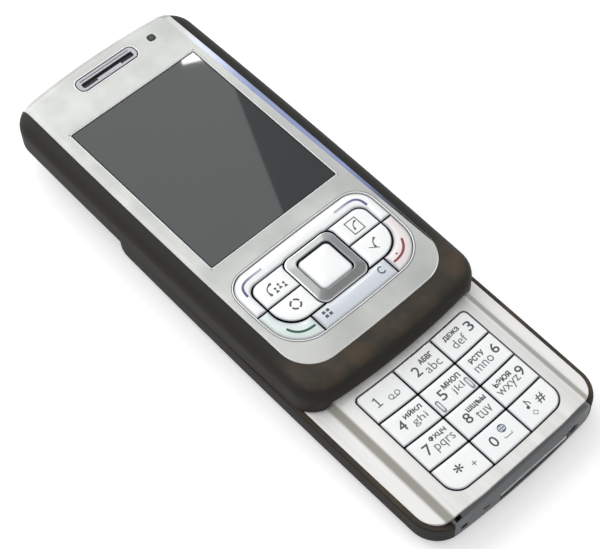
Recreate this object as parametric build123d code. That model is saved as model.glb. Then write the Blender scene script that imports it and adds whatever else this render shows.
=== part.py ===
"""Slider phone, lying on its back with the slide open.

Frame: millimetres, +Z up out of the screen, +Y towards the earpiece, +X to the phone's right. The origin
is on the table, under the middle of the open phone. Two halves of the same plan overlap: the base, which
holds the keypad, reaches from Y -70 to +35, and the upper half, with the screen, from Y -35 to +70.
"""

import os
from math import cos, radians, sin

from build123d import *

# Both halves share one plan: barrelled sides, bowed ends and round corners.
LENGTH = 105.0
HALF_WIDTH = 25.0
SIDE_BOW = 0.45
END_BOW = 1.3
CORNER_R = 7.0
TRAVEL = 35.0
BASE_MID = -TRAVEL / 2
UPPER_MID = TRAVEL / 2
BASE_END = BASE_MID - LENGTH / 2
BASE_FAR = BASE_MID + LENGTH / 2
UPPER_END = UPPER_MID - LENGTH / 2
UPPER_FAR = UPPER_MID + LENGTH / 2

# Heights of the stack, from the table up.
COVER_TOP = 1.2
BATTERY_TOP = 5.25
BAY_TOP = 5.75
FLOOR_TOP = 6.2
RIM_TOP = 7.0
SKIRT_LOW = 7.3
PLATEAU_TOP = 10.2
DIGIT_TOP = 10.5
DECK_LOW = 10.9
FACE_TOP = 15.5
CASE_TOP = 15.2

# Shell thicknesses and edge roundings.
WALL = 1.3
SHEET = 0.9
BELLY_R = 3.0
TOP_R = 3.6
PLATE_INSET = 1.15
BED_INSET = 1.5
FIT = 0.06

# Across the base: a flat plateau, a rounded shoulder, a flank and a falling side strip.
PLATEAU_FLAT_X = 14.8
SHOULDER_X = 18.7
SHOULDER_DROP = 0.6
FLANK_X = 20.3
FLANK_DROP = 1.9
STRIP_X = 26.0
STRIP_DROP = 3.85

# The hollow along the underside of the upper half clears that section.
TUNNEL_FLAT_X = 19.3
TUNNEL_FLANK_X = 20.9
TUNNEL_STRIP_X = 23.9
TUNNEL_FLANK_Z = 8.6
TUNNEL_STRIP_Z = 7.6

# Where the keypad plate ends and the moulded bed under the upper half begins.
PLATE_Y = (BASE_END + 1.45, -30.0)
BED_Y = (-29.9, 32.9)
CARRIAGE_Y = (-29.0, 32.4)

# Keypad: three columns and four rows, whose rows curve like a smile.
COLUMNS = (-15.92, -5.32, 5.32, 15.92)
ROWS = (-36.65, -44.17, -51.45, -58.68, -65.86)
ROW_CURVE = 0.00207
KEY_GAP = 0.3
DIGIT_LOW = 9.0
KEY_NAMES = (("1", "2", "3"), ("4", "5", "6"), ("7", "8", "9"), ("star", "0", "hash"))
PAD_TOP_R = 1.2
PAD_LOW_R = 3.6

# Control keys under the screen.
ISLAND_HALF = 19.1
ISLAND_TOP = -0.1
ISLAND_LOW = -22.6
BLOCK_HALF = 16.2
BLOCK_TOP = -4.2
BLOCK_LOW = -17.6
SPLIT_Y = -10.7
RING_HALF = 6.9
RING_TOP = -3.9
RING_LOW = -17.9
SELECT_HALF = 4.5
SELECT_TOP = -6.2
SELECT_LOW = -15.3
BAR_LEFT = -10.5
BAR_RIGHT = 10.3
CONTROL_LOW = 13.75
CONTROL_TOP = 15.6
RING_HIGH = 15.8
CONTROL_PADS = (
    *((-14.5, -2.2), (14.5, -2.2)),
    *((-15.6, -18.6), (15.6, -18.6)),
    *((-7.8, -20.3), (7.8, -20.3)),
    *((-11.6, -7.5), (11.6, -7.5)),
    *((-11.6, -14.0), (11.6, -14.0)),
    (0, -10.75),
)
CONTROL_MAT_Z = (13.3, 13.55)
CONTROL_BOARD_TOP = 12.95
CARRIER_Z = (13.57, 13.63)

# Screen and face plate.
WINDOW_HALF = 18.2
WINDOW_LOW = 4.8
WINDOW_HIGH = 53.66
FACE_HALF = 21.3
FACE_LOW = -28.2
FACE_LOW_R = 8.0
BEVEL_LINE = ((19.6, 60.0), (20.3, 5.0))
BEVEL_SLOPE = 0.17
EDGE_BREAK = 0.2
CHIN_START = -27.0
CHIN_R = 38.0
CHIN_TURN = radians(20)
ROLL_LOW = 12.2
EAR_HALF = 8.35
EAR_LOW = 60.95
EAR_HIGH = 64.75
EAR_R = 1.5
EAR_SLOT_HALF = 7.3
EAR_SLOT_Y = (61.7, 63.3)
EAR_STEP = (-3.3, 3.5)
SENSOR = (13.4, 63.1)
SENSOR_R = 1.0
MODULE_TOP = 14.2
MODULE_Y = (2.6, 57.0)

# Slide mechanism: two T-section shoes on the base run in two channels of the upper half.
RAIL_X = 16.2
RAIL_LOW_Y = 4.0
RAIL_HIGH_Y = 66.0
RAIL_HALF = 2.3
CHANNEL_HALF = 1.7
SLOT_HALF = 0.8
SHOE_LOW_Y = 5.0
SHOE_HIGH_Y = 30.0
SLIDE_GAP = 0.1
SLIDE_PLATE_TOP = 11.4
CHANNEL_TOP = 12.05
RAIL_TOP = 12.35
BED_TOP = 9.6
CARRIAGE_TOP = 10.2
POCKET_HALF = 13.3
POCKET_LOW_Y = -28.0
POCKET_HIGH_Y = 31.5
POCKET_FLOOR = 9.0
BASE_PIN = (5.2, 9.5)
UPPER_PIN = (11.2, 27.0)
SPRING_COIL = (7.0, 19.0)
PIN_R = 0.8
COIL_R = (1.8, 2.4)
FLEX_HALF = 2.5
FLEX_BASE_Y = 12.7
FLEX_UPPER_Y = 30.0
FLEX_PLAY = 0.3

# Bottom end: connector, charging socket, microphone and strap hole, all in the end cap.
CAP_HALF = 19.4
CAP_Y = -67.0
CAP_TOP = 9.3
CONNECTOR_X = (-6.9, 12.4)
CONNECTOR_Z = (3.6, 6.15)
JACK = (14.2, 5.0)
JACK_R = 1.45
JACK_BORE_R = 1.05
CONNECTOR_BACK = -62.0
CONNECTOR_PLAY = 0.4
MIC_X = -11.1
MIC_Z = 5.2
MIC_R = 2.0
MIC_BACK = -64.0
STRAP_X = -17.0
STRAP_Z = (3.9, 5.4)

# Keys on the sides, and what the back of the base holds.
SIDE_KEY_Y = {"volume_up_key": 23.5, "voice_key": 17.5, "volume_down_key": 11.5}
SIDE_KEY_LENGTH = 5.2
SIDE_KEY_HEIGHT = 2.2
SIDE_KEY_Z = 4.0
SIDE_KEY_R = 0.9
SIDE_KEY_FACE = 24.85
SIDE_KEY_BACK = 22.4
KEY_FIT = 0.12
POWER_KEY_HALF = 3.8
POWER_KEY_FACE = 35.2
COVER_Y = 8.0
LUGS = [(x, y) for x in (-19.9, 19.9) for y in (-42.0, -12.0)]
LUG_TRAVEL = 8.0
CAMERA = (-9.0, 24.0)
CAMERA_R = 4.0
LENS_R = 2.6
SPEAKER = (10.5, 24.0)
SLOT_LENGTH = 9.0
SLOT_WIDTH = 0.9
SLOT_PITCH = 1.9
MOTOR = (-19.0, 3.5)
MOTOR_R = 2.0
BOARD_TOP = 7.0
BOARD_X = 19.5
BOARD_Y = (-64.5, 32.0)
CANS = ((-17, -1, -26, -3), (1, 17, -26, -3), (-17, 8, 0, 11.5))
CAN_TOP = 8.1
BATTERY_X = 17.0
BATTERY_Y = (-52.2, 0.2)
SIM_X = 9.0
SIM_Y = (-24.0, -2.0)
CASE_HEAD_R = 1.5
CASE_SHANK_R = 0.8
CASE_TIP = 7.9
DECK_HEAD_R = 1.4
DECK_SHANK_R = 0.7
DECK_TIP = 12.2
CASE_SCREWS = ((-20.6, -56.0), (20.6, -56.0), (-20.6, 4.0), (20.6, 4.0))
DECK_SCREWS = ((-9.0, -29.5), (9.0, -29.5), (-9.0, 64.5), (9.0, 64.5))


def prism(face, z_low, z_high):
    """Stand a flat outline up between two heights."""
    return Pos(0, 0, z_low) * extrude(face, amount=z_high - z_low, dir=(0, 0, 1))


def brick(x_low, x_high, y_low, y_high, z_low, z_high):
    """A plain block between three pairs of limits."""
    middle = ((x_low + x_high) / 2, (y_low + y_high) / 2, (z_low + z_high) / 2)
    return Pos(*middle) * Box(x_high - x_low, y_high - y_low, z_high - z_low)


def tablet(x_low, x_high, y_low, y_high, z_low, z_high, radius):
    """A block whose upright edges are rounded."""
    outline = RectangleRounded(x_high - x_low, y_high - y_low, radius)
    return prism(Pos((x_low + x_high) / 2, (y_low + y_high) / 2) * outline, z_low, z_high)


def rod(x, y, radius, z_low, z_high):
    """An upright cylinder."""
    return Pos(x, y, (z_low + z_high) / 2) * Cylinder(radius, z_high - z_low)


def bore_y(x, z, radius, y_low, y_high):
    """A cylinder that lies along the phone."""
    return Pos(x, (y_low + y_high) / 2, z) * Rot(90, 0, 0) * Cylinder(radius, y_high - y_low)


def slab(z_low, z_high, y_low=-80.0, y_high=80.0):
    """Everything between two heights, and between two places along the phone."""
    return brick(-30, 30, y_low, y_high, z_low, z_high)


def along(profile, y_low, y_high):
    """Carry an outline in X and Z along the phone."""
    return extrude(Plane.XZ.offset(-y_low) * profile, amount=y_high - y_low, dir=(0, 1, 0))


def across(profile):
    """Carry an outline in Y and Z across the whole width."""
    return extrude(Plane.YZ * profile, amount=HALF_WIDTH + 2, both=True)


def plan(middle, inset=0.0):
    """Plan of one half, drawn inset mm inside its edge."""
    wide = HALF_WIDTH - inset
    half = LENGTH / 2 - inset
    x, y = wide - SIDE_BOW, half - END_BOW
    edges = [
        Bezier((x, -y), (wide + SIDE_BOW, 0), (x, y)),
        Bezier((x, y), (0, half + END_BOW), (-x, y)),
        Bezier((-x, y), (-wide - SIDE_BOW, 0), (-x, -y)),
        Bezier((-x, -y), (0, -half - END_BOW), (x, -y)),
    ]
    face = make_face(edges)
    return Pos(0, middle) * fillet(face.vertices(), CORNER_R - inset)


def plateau(lower, y_low, y_high):
    """Everything under the base's cross-section, lowered by some mm."""
    top = PLATEAU_TOP - lower
    shoulder, flank, strip = top - SHOULDER_DROP, top - FLANK_DROP, top - STRIP_DROP
    mid_x, mid_z = (PLATEAU_FLAT_X + SHOULDER_X) / 2 + 0.3, top - SHOULDER_DROP * 0.3
    right = [
        ThreePointArc((PLATEAU_FLAT_X, top), (mid_x, mid_z), (SHOULDER_X, shoulder)),
        Line((SHOULDER_X, shoulder), (FLANK_X, flank)),
        Line((FLANK_X, flank), (STRIP_X, strip)),
        Line((STRIP_X, strip), (STRIP_X, -1)),
    ]
    left = [mirror(edge, Plane.YZ) for edge in right]
    middle = [Line((-PLATEAU_FLAT_X, top), (PLATEAU_FLAT_X, top)), Line((-STRIP_X, -1), (STRIP_X, -1))]
    return along(make_face(right + left + middle), y_low, y_high)


def tunnel(raised, y_low, y_high):
    """The hollow that the base runs in, raised by some mm."""
    right = [
        (TUNNEL_FLAT_X, DECK_LOW + raised),
        (TUNNEL_FLANK_X, TUNNEL_FLANK_Z + raised),
        (TUNNEL_STRIP_X, TUNNEL_STRIP_Z + raised),
        (TUNNEL_STRIP_X, -1),
    ]
    left = [(-x, z) for x, z in reversed(right)]
    return along(make_face(Polyline(*right, *left, close=True)), y_low, y_high)


def belly(inset=0.0, top=RIM_TOP):
    """The base's rounded body, up to a height."""
    body = prism(plan(BASE_MID, inset), inset, top)
    bottom = body.faces().sort_by(Axis.Z)[0]
    return fillet(bottom.edges(), BELLY_R - inset)


def hood(inset=0.0, top=FACE_TOP):
    """Body of the upper half, drawn inset mm inside: a core whose chin falls, grown by the edge radius."""
    radius = TOP_R - inset
    core_top, fall_r = top - radius, CHIN_R - TOP_R
    foot = (CHIN_START - fall_r * sin(CHIN_TURN), core_top - fall_r * (1 - cos(CHIN_TURN)))
    halfway = (
        CHIN_START - fall_r * sin(CHIN_TURN / 2),
        core_top - fall_r * (1 - cos(CHIN_TURN / 2)),
    )
    fall = [
        ThreePointArc((CHIN_START, core_top), halfway, foot),
        Polyline(foot, (foot[0], core_top + 1), (CHIN_START, core_top + 1), (CHIN_START, core_top)),
    ]
    core = prism(plan(UPPER_MID, TOP_R), 0, core_top) - across(make_face(fall))
    grown = offset(core, amount=radius, kind=Kind.ARC)
    return grown & slab(SKIRT_LOW, FACE_TOP + 1)


def face_region(grow=0.0):
    """Outline of the face plate: sides that follow the barrel, round lower corners, open far end."""
    x, low, high = FACE_HALF + grow, FACE_LOW - grow, UPPER_FAR + 2
    reach = (high - UPPER_MID) / (LENGTH / 2)
    end_x = x - SIDE_BOW * reach * reach
    foot_y = 2 * UPPER_MID - high
    sides = [
        ThreePointArc((end_x, foot_y), (x, UPPER_MID), (end_x, high)),
        Line((end_x, high), (-end_x, high)),
        ThreePointArc((-end_x, high), (-x, UPPER_MID), (-end_x, foot_y)),
        Line((-end_x, foot_y), (end_x, foot_y)),
    ]
    bow = ThreePointArc((-30, low + 1), (0, low), (30, low + 1))
    above = make_face([bow, Polyline((30, low + 1), (30, high + 1), (-30, high + 1), (-30, low + 1))])
    face = make_face(sides) & above
    return fillet(face.vertices().sort_by(Axis.Y)[:2], FACE_LOW_R)


def island(inset=0.0):
    """Outline of the whole group of control keys."""
    x, top, low = ISLAND_HALF - inset, ISLAND_TOP - inset, ISLAND_LOW + inset
    edges = [
        ThreePointArc((x - 0.8, low + 0.5), (x, (top + low) / 2 + 2), (x - 0.2, top - 0.25)),
        ThreePointArc((x - 0.2, top - 0.25), (0, top), (0.2 - x, top - 0.25)),
        ThreePointArc((0.2 - x, top - 0.25), (-x, (top + low) / 2 + 2), (0.8 - x, low + 0.5)),
        ThreePointArc((0.8 - x, low + 0.5), (0, low), (x - 0.8, low + 0.5)),
    ]
    face = make_face(edges)
    face = fillet(face.vertices().sort_by(Axis.Y)[:2], 8.0 - inset)
    return fillet(face.vertices().filter_by(lambda v: v.Y > top - 0.3 and abs(v.X) > x - 1), 5.0 - inset)


def corner_block(half, low, high, low_r, high_r):
    """A rectangle about the middle whose lower and upper corners differ."""
    face = Pos(0, (low + high) / 2) * Rectangle(half * 2, high - low)
    face = fillet(face.vertices().sort_by(Axis.Y)[:2], low_r)
    return fillet(face.vertices().filter_by(lambda v: abs(v.Y - high) < 1e-4), high_r)


def inner_block(inset=0.0):
    """Outline of the four quick keys together with the ring."""
    return corner_block(BLOCK_HALF - inset, BLOCK_LOW + inset, BLOCK_TOP - inset, 5.5, 2.5)


def ring_outline(inset=0.0):
    """Outline of the navigation ring."""
    return corner_block(RING_HALF - inset, RING_LOW + inset, RING_TOP - inset, 2.2, 2.2)


def select_outline(inset=0.0):
    """Outline of the key inside the ring."""
    return corner_block(SELECT_HALF - inset, SELECT_LOW + inset, SELECT_TOP - inset, 1.4, 1.4)


def pad_row(y, x_low, x_high):
    """One curved line between two rows of digits."""
    points = [(x, y + ROW_CURVE * x * x) for x in (x_low, (x_low + x_high) / 2, x_high)]
    return ThreePointArc(*points)


def pad_cell(columns, rows, shrink):
    """Outline between two columns and two rows, with the keypad's own round corners."""
    left, right = columns[0] + shrink, columns[1] - shrink
    high, low = rows[0] - shrink, rows[1] + shrink
    top, bottom = pad_row(high, left, right), pad_row(low, left, right)
    sides = [Line(bottom @ 0, top @ 0), Line(bottom @ 1, top @ 1)]
    face = make_face([top, bottom, *sides])
    top_r = PAD_TOP_R if rows[0] == ROWS[0] else KEY_GAP
    low_r = PAD_LOW_R if rows[1] == ROWS[-1] else KEY_GAP
    for x, outer in ((left, columns[0] == COLUMNS[0]), (right, columns[1] == COLUMNS[-1])):
        for y, radius in ((high, top_r), (low, low_r)):
            corner = face.vertices().sort_by_distance((x, y + ROW_CURVE * x * x, 0))[0]
            face = fillet(corner, radius if outer else KEY_GAP)
    return face


def eased(body, radius):
    """Round the edges of a key's top face."""
    return fillet(body.faces().sort_by(Axis.Z)[-1].edges(), radius)


def bevelled(body, size):
    """Break the edges of a key's top face."""
    return chamfer(body.faces().sort_by(Axis.Z)[-1].edges(), size)


# ---------------------------------------------------------------- base half


def keypad_plate():
    """Pressed silver plate around the digits, from the bottom end to under the upper half."""
    y_low, y_high = PLATE_Y
    sheet = plateau(0, y_low, y_high) - plateau(SHEET, y_low - 1, y_high + 1)
    sheet &= prism(plan(BASE_MID, PLATE_INSET), 0, PLATEAU_TOP)
    sheet -= prism(pad_cell((COLUMNS[0], COLUMNS[-1]), (ROWS[0], ROWS[-1]), 0), 8, 11)
    for x, y in CASE_SCREWS[:2]:
        sheet -= rod(x, y, CASE_SHANK_R, FLOOR_TOP, CASE_TIP)
    return sheet


def slide_bed():
    """Moulded cover over the board, always under the upper half, with the pocket for the springs."""
    y_low, y_high = BED_Y
    shell = plateau(0, y_low, y_high) & slab(0, BED_TOP) & prism(plan(BASE_MID, BED_INSET), 0, BED_TOP)
    hollow = plateau(SHEET, y_low - 1, y_high + 1) & slab(0, BED_TOP - SHEET)
    tub_x, tub_low = POCKET_HALF + SHEET, POCKET_FLOOR - 0.65
    bed = shell - hollow + brick(-tub_x, tub_x, y_low, y_high, tub_low, BED_TOP)
    bed -= spring_pocket()
    bed -= flex_passage(FLEX_BASE_Y, BOARD_TOP, BED_TOP)
    for x, y in CASE_SCREWS[2:]:
        bed -= rod(x, y, CASE_SHANK_R, FLOOR_TOP, CASE_TIP)
    for side in (-1, 1):
        bed += rod(side * BASE_PIN[0], BASE_PIN[1], PIN_R, POCKET_FLOOR - 0.1, CARRIAGE_TOP + 0.4)
    return bed


def spring_pocket():
    """Room for the flat springs, through the carriage and into the bed."""
    return brick(-POCKET_HALF, POCKET_HALF, POCKET_LOW_Y, POCKET_HIGH_Y, POCKET_FLOOR, DECK_LOW)


def flex_passage(y, z_low, z_high):
    """Slot that the ribbon passes through."""
    half, play = FLEX_HALF + FLEX_PLAY, FLEX_PLAY + 0.15
    return brick(-half, half, y - play, y + play, z_low, z_high)


def slide_carriage():
    """Steel plate on the bed whose two T-section shoes hold the upper half."""
    y_low, y_high = CARRIAGE_Y
    edge = SHOULDER_X - 0.3
    plate = tablet(-edge, edge, y_low, y_high, BED_TOP, CARRIAGE_TOP, 1.0)
    plate -= spring_pocket()
    plate &= plateau(0, y_low, y_high)
    stem, head = SLOT_HALF - SLIDE_GAP, CHANNEL_HALF - SLIDE_GAP
    head_low, head_high = SLIDE_PLATE_TOP + SLIDE_GAP, CHANNEL_TOP - SLIDE_GAP
    for side in (-1, 1):
        x = side * RAIL_X
        plate += brick(x - stem, x + stem, SHOE_LOW_Y, SHOE_HIGH_Y, CARRIAGE_TOP - 0.3, head_high)
        plate += tablet(x - head, x + head, SHOE_LOW_Y, SHOE_HIGH_Y, head_low, head_high, 0.8)
    return plate


def assist_springs():
    """Two flat torsion springs, each from a pin of the base to a pin of the upper half."""
    wire = 0.3
    low, high = POCKET_FLOOR + 0.1, CARRIAGE_TOP + 0.3
    middle = (low + high) / 2
    coil_x, coil_y = SPRING_COIL
    bore_r, coil_r = COIL_R
    spring = rod(coil_x, coil_y, coil_r, low, high) - rod(coil_x, coil_y, bore_r, low - 1, high + 1)
    for x, y in (BASE_PIN, UPPER_PIN):
        arm = Line((x, y, middle), (coil_x, coil_y, middle))
        length = arm.length - coil_r + wire
        halfway = Plane(origin=arm.position_at(0.5 * length / arm.length), z_dir=arm % 0)
        leg = halfway * Cylinder(wire, length)
        eye = rod(x, y, PIN_R + 0.65, middle - wire, middle + wire)
        spring += eye + leg - rod(x, y, PIN_R + 0.08, low, high)
    pair = [*spring.solids(), *mirror(spring, Plane.YZ).solids()]
    return Compound(children=pair)


def flex_cable():
    """Ribbon from the board up through the bed and into the upper half."""
    foot, bend_low = (FLEX_BASE_Y, BED_TOP - 1.65), (FLEX_BASE_Y, BED_TOP - 0.2)
    bend_high, head = (FLEX_UPPER_Y, CARRIAGE_TOP), (FLEX_UPPER_Y, RAIL_TOP - 0.05)
    ribbon = trace(FilletPolyline(foot, bend_low, bend_high, head, radius=0.5), line_width=0.2)
    return extrude(Plane.YZ * ribbon, amount=FLEX_HALF, both=True)


def connector_room(y_low, y_high, z_high):
    """Room round the connector, through the cap and into the bowl."""
    x_low, x_high = CONNECTOR_X[0] - CONNECTOR_PLAY, CONNECTOR_X[1] + CONNECTOR_PLAY
    return brick(x_low, x_high, y_low, y_high, CONNECTOR_Z[0] - CONNECTOR_PLAY, z_high)


def side_key_hole(y, grow):
    """Hole for a key in the right side, larger than the key by some mm."""
    reach, tall = SIDE_KEY_LENGTH / 2 + grow, SIDE_KEY_HEIGHT / 2 + grow
    return brick(23, 27, y - reach, y + reach, SIDE_KEY_Z - tall, SIDE_KEY_Z + tall)


def base_case():
    """Soft-coated moulded bowl: battery bay below, board floor above, parts space at the far end."""
    case = belly()
    case = fillet(case.faces().sort_by(Axis.Z)[-1].edges(), 0.5)
    case -= prism(plan(BASE_MID, PLATE_INSET), FLOOR_TOP, RIM_TOP + 1)
    case -= slab(-1, COVER_TOP, y_high=COVER_Y)
    case -= brick(-CAP_HALF - FIT, CAP_HALF + FIT, BASE_END - 1, CAP_Y + FIT, 0, CAP_TOP)
    bay_x, (bay_low, bay_high) = BATTERY_X + 0.3, BATTERY_Y
    case -= brick(-bay_x, bay_x, bay_low - 0.3, bay_high + 0.3, 0, BAY_TOP)
    case -= belly(WALL + 0.2, FLOOR_TOP + 0.1) & slab(WALL, RIM_TOP, COVER_Y + 0.3, BASE_FAR)
    case -= connector_room(CAP_Y - 1, CONNECTOR_BACK + 0.1, FLOOR_TOP + 0.1)
    case -= bore_y(*JACK, JACK_R, CAP_Y - 1, -64.5)
    case -= bore_y(MIC_X, MIC_Z, MIC_R, CAP_Y - 1, MIC_BACK) & slab(0, FLOOR_TOP)
    for x, y in CASE_SCREWS:
        case -= rod(x, y, CASE_HEAD_R, 0, 2.4)
        case -= rod(x, y, CASE_SHANK_R, 2, RIM_TOP + 0.5)
    for x, y in LUGS:
        case -= brick(x - 1.3, x + 1.3, y - 1.8 - LUG_TRAVEL, y + 1.7, 0, 2.1)
    case -= rod(*CAMERA, CAMERA_R + FIT, -1, WALL + 0.5)
    case -= speaker_slots()
    low, high = min(SIDE_KEY_Y.values()), max(SIDE_KEY_Y.values())
    reach, dip = SIDE_KEY_LENGTH / 2 + 0.8, 1.5
    case -= brick(24.4, 27, low - reach, high + reach, SIDE_KEY_Z - dip, SIDE_KEY_Z + dip)
    for y in SIDE_KEY_Y.values():
        case -= side_key_hole(y, KEY_FIT)
    half, tall = POWER_KEY_HALF + KEY_FIT, SIDE_KEY_HEIGHT / 2 + KEY_FIT
    case -= brick(-half, half, BASE_FAR - 2, BASE_FAR + 1, SIDE_KEY_Z - tall, SIDE_KEY_Z + tall)
    return case


def speaker_slots():
    """Five slots in the back over the loudspeaker."""
    x, half, width = SPEAKER[0], SLOT_LENGTH / 2, SLOT_WIDTH / 2
    rows = [SPEAKER[1] + row * SLOT_PITCH for row in range(-2, 3)]
    return [tablet(x - half, x + half, y - width, y + width, -1, WALL + 0.5, 0.44) for y in rows]


def battery_cover():
    """Soft-coated sliding cover: the whole underside up to the camera, with four lugs."""
    cover = belly() & slab(-1, COVER_TOP - 0.05, y_high=COVER_Y - 0.12)
    for x, y in LUGS:
        cover += brick(x - 1, x + 1, y - 1.5, y + 1.5, COVER_TOP - 0.3, 1.9)
    return cover


def end_cap():
    """Metallic bottom end with the connector, charger, microphone and strap openings."""
    brow, brow_mid = (-68.6, CAP_TOP), (-69.6, 8.4)
    roll = make_face(
        [
            Polyline((BASE_END, 6.9), (BASE_END - 0.1, -1), (CAP_Y, -1), (CAP_Y, CAP_TOP), brow),
            ThreePointArc(brow, brow_mid, (BASE_END, 6.9)),
        ]
    )
    cap = belly(0, CAP_TOP) & across(roll) & plateau(SHEET, BASE_END - 1, CAP_Y)
    cap &= brick(-CAP_HALF, CAP_HALF, BASE_END - 1, CAP_Y, COVER_TOP, CAP_TOP)
    front, back, eyelet_back = BASE_END - 1, CAP_Y + 1, CAP_Y - 0.6
    cap -= connector_room(front, back, CONNECTOR_Z[1] + 0.45)
    cap -= bore_y(*JACK, JACK_R, front, back)
    cap -= brick(MIC_X - 0.9, MIC_X + 0.9, front, back, MIC_Z - 0.3, MIC_Z + 0.5)
    cap -= brick(STRAP_X - 0.8, STRAP_X + 0.8, front, eyelet_back, *STRAP_Z)
    cap -= brick(STRAP_X - 2.0, STRAP_X - 0.5, -69.0, eyelet_back, STRAP_Z[0], CAP_TOP + 1)
    return cap


def connector():
    """Data connector: a bright metal lip over a narrow slot, on a body behind the cap."""
    x_low, x_high = CONNECTOR_X
    z_low, z_high = CONNECTOR_Z
    lip_front, lip_back = BASE_END + 0.45, CAP_Y - 0.6
    body = brick(x_low - 0.3, x_high + 0.3, lip_back, CONNECTOR_BACK, z_low - CONNECTOR_PLAY, FLOOR_TOP)
    outline = RectangleRounded(x_high - x_low, z_high - z_low, 0.5)
    lip = Pos((x_low + x_high) / 2, (z_low + z_high) / 2) * outline
    slot = brick(x_low + 1.2, x_high - 1.2, BASE_END, lip_front + 1.15, z_low + 0.4, z_low + 0.85)
    return body + along(lip, lip_front, lip_back) - slot


def charging_socket():
    """Round charging socket with its bore and centre pin."""
    barrel = bore_y(*JACK, JACK_R, -69.3, -64.6) - bore_y(*JACK, JACK_BORE_R, BASE_END, -65.4)
    return barrel + bore_y(*JACK, 0.3, -68.6, -65.0)


def microphone():
    """Microphone capsule behind its slit."""
    return bore_y(MIC_X, MIC_Z, MIC_R, CAP_Y + 0.1, MIC_BACK) & slab(0, FLOOR_TOP)


def battery():
    """Flat rechargeable pack with three contacts at its upper end."""
    y_low, y_high = BATTERY_Y
    pack = tablet(-BATTERY_X, BATTERY_X, y_low, y_high, COVER_TOP + 0.05, BATTERY_TOP, 1.5)
    for x in (-4, 0, 4):
        pack -= brick(x - 1.1, x + 1.1, y_high - 0.4, y_high + 1, 2.6, 4.6)
    return pack


def sim_holder():
    """Card frame on the bay's ceiling, under the battery, open towards the bottom end."""
    y_low, y_high = SIM_Y
    frame = tablet(-SIM_X, SIM_X, y_low, y_high, BATTERY_TOP + 0.02, BAY_TOP, 0.5)
    return frame - brick(2 - SIM_X, SIM_X - 2, y_low - 2, y_high - 3, BATTERY_TOP, BATTERY_TOP + 0.2)


def digit_centres():
    """Middle of each digit key."""
    for row in range(4):
        for column in range(3):
            x = (COLUMNS[column] + COLUMNS[column + 1]) / 2
            yield x, (ROWS[row] + ROWS[row + 1]) / 2 + ROW_CURVE * x * x


def main_board():
    """Main circuit board with three soldered screening cans and a snap dome under each digit."""
    board = tablet(-BOARD_X, BOARD_X, *BOARD_Y, FLOOR_TOP, BOARD_TOP, 2.0)
    for can in CANS:
        board += tablet(*can, BOARD_TOP - 0.1, CAN_TOP, 0.8)
    for x, y in digit_centres():
        board += Pos(x, y, BOARD_TOP + 0.1) * Cone(2.1, 1.2, 0.4)
    return board


def keypad_mat():
    """Silicone mat: its rim seals the plate, its pads carry the digits, its nubs reach the domes."""
    low, high = DIGIT_LOW - 0.45, DIGIT_LOW
    outline = pad_cell((COLUMNS[0], COLUMNS[-1]), (ROWS[0], ROWS[-1]), 0)
    mat = prism(offset(outline, 0.9), low, high)
    mat += prism(offset(outline, 0.9) - offset(outline, 0.2), high, PLATEAU_TOP - SHEET)
    mat &= plateau(SHEET + 0.02, BASE_END, PLATE_Y[1])
    for x, y in digit_centres():
        mat += rod(x, y, 1.0, BOARD_TOP + 0.34, low + 0.1)
    return mat


def digit_key(column, row):
    """One digit key, with two raised marks on the middle one."""
    columns, rows = COLUMNS[column : column + 2], ROWS[row : row + 2]
    key = eased(prism(pad_cell(columns, rows, KEY_GAP / 2), DIGIT_LOW, DIGIT_TOP), 0.25)
    if KEY_NAMES[row][column] == "5":
        for x in (-4.0, 4.2):
            key += tablet(x - 0.35, x + 0.35, -50.7, -48.2, DIGIT_TOP - 0.1, DIGIT_TOP + 0.2, 0.34)
    return key


def camera_module():
    """Camera block on the board, looking out of the back."""
    x, y = CAMERA
    block = tablet(x - 4.6, x + 4.6, y - 4.6, y + 4.6, 2.6, FLOOR_TOP, 0.8)
    return block + rod(x, y, 3.0, WALL + 0.05, 2.7)


def camera_window():
    """Bright ring with a flat lens cover, set flush in the back."""
    x, y = CAMERA
    ring = rod(x, y, CAMERA_R, 0.1, WALL) - rod(x, y, LENS_R, 0, 0.35)
    return chamfer(ring.faces().sort_by(Axis.Z)[0].edges().sort_by(SortBy.LENGTH)[-1], 0.3)


def loudspeaker():
    """Oblong loudspeaker behind the five slots."""
    x, y = SPEAKER
    body = tablet(x - 7.0, x + 7.0, y - 5.4, y + 5.4, WALL + 0.2, 4.6, 2.0)
    return body + tablet(x - 5.0, x + 5.0, y - 3.6, y + 3.6, 4.5, 5.2, 1.5)


def vibration_motor():
    """Small motor with its off-centre weight."""
    motor, shaft = bore_y(*MOTOR, MOTOR_R, 14.0, 22.0), bore_y(*MOTOR, 0.4, 10.5, 14.5)
    weight = bore_y(*MOTOR, MOTOR_R, 10.5, 13.2) & slab(1, MOTOR[1] + 0.1)
    return motor + weight + shaft


def antenna():
    """Antenna carrier inside the far end, open in the middle for the power key."""
    carrier = belly(WALL + 0.4, FLOOR_TOP) & slab(1, RIM_TOP, 29.9, BASE_FAR)
    half = POWER_KEY_HALF + 1.4
    return carrier - brick(-half, half, 29, BASE_FAR, 0, RIM_TOP)


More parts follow.
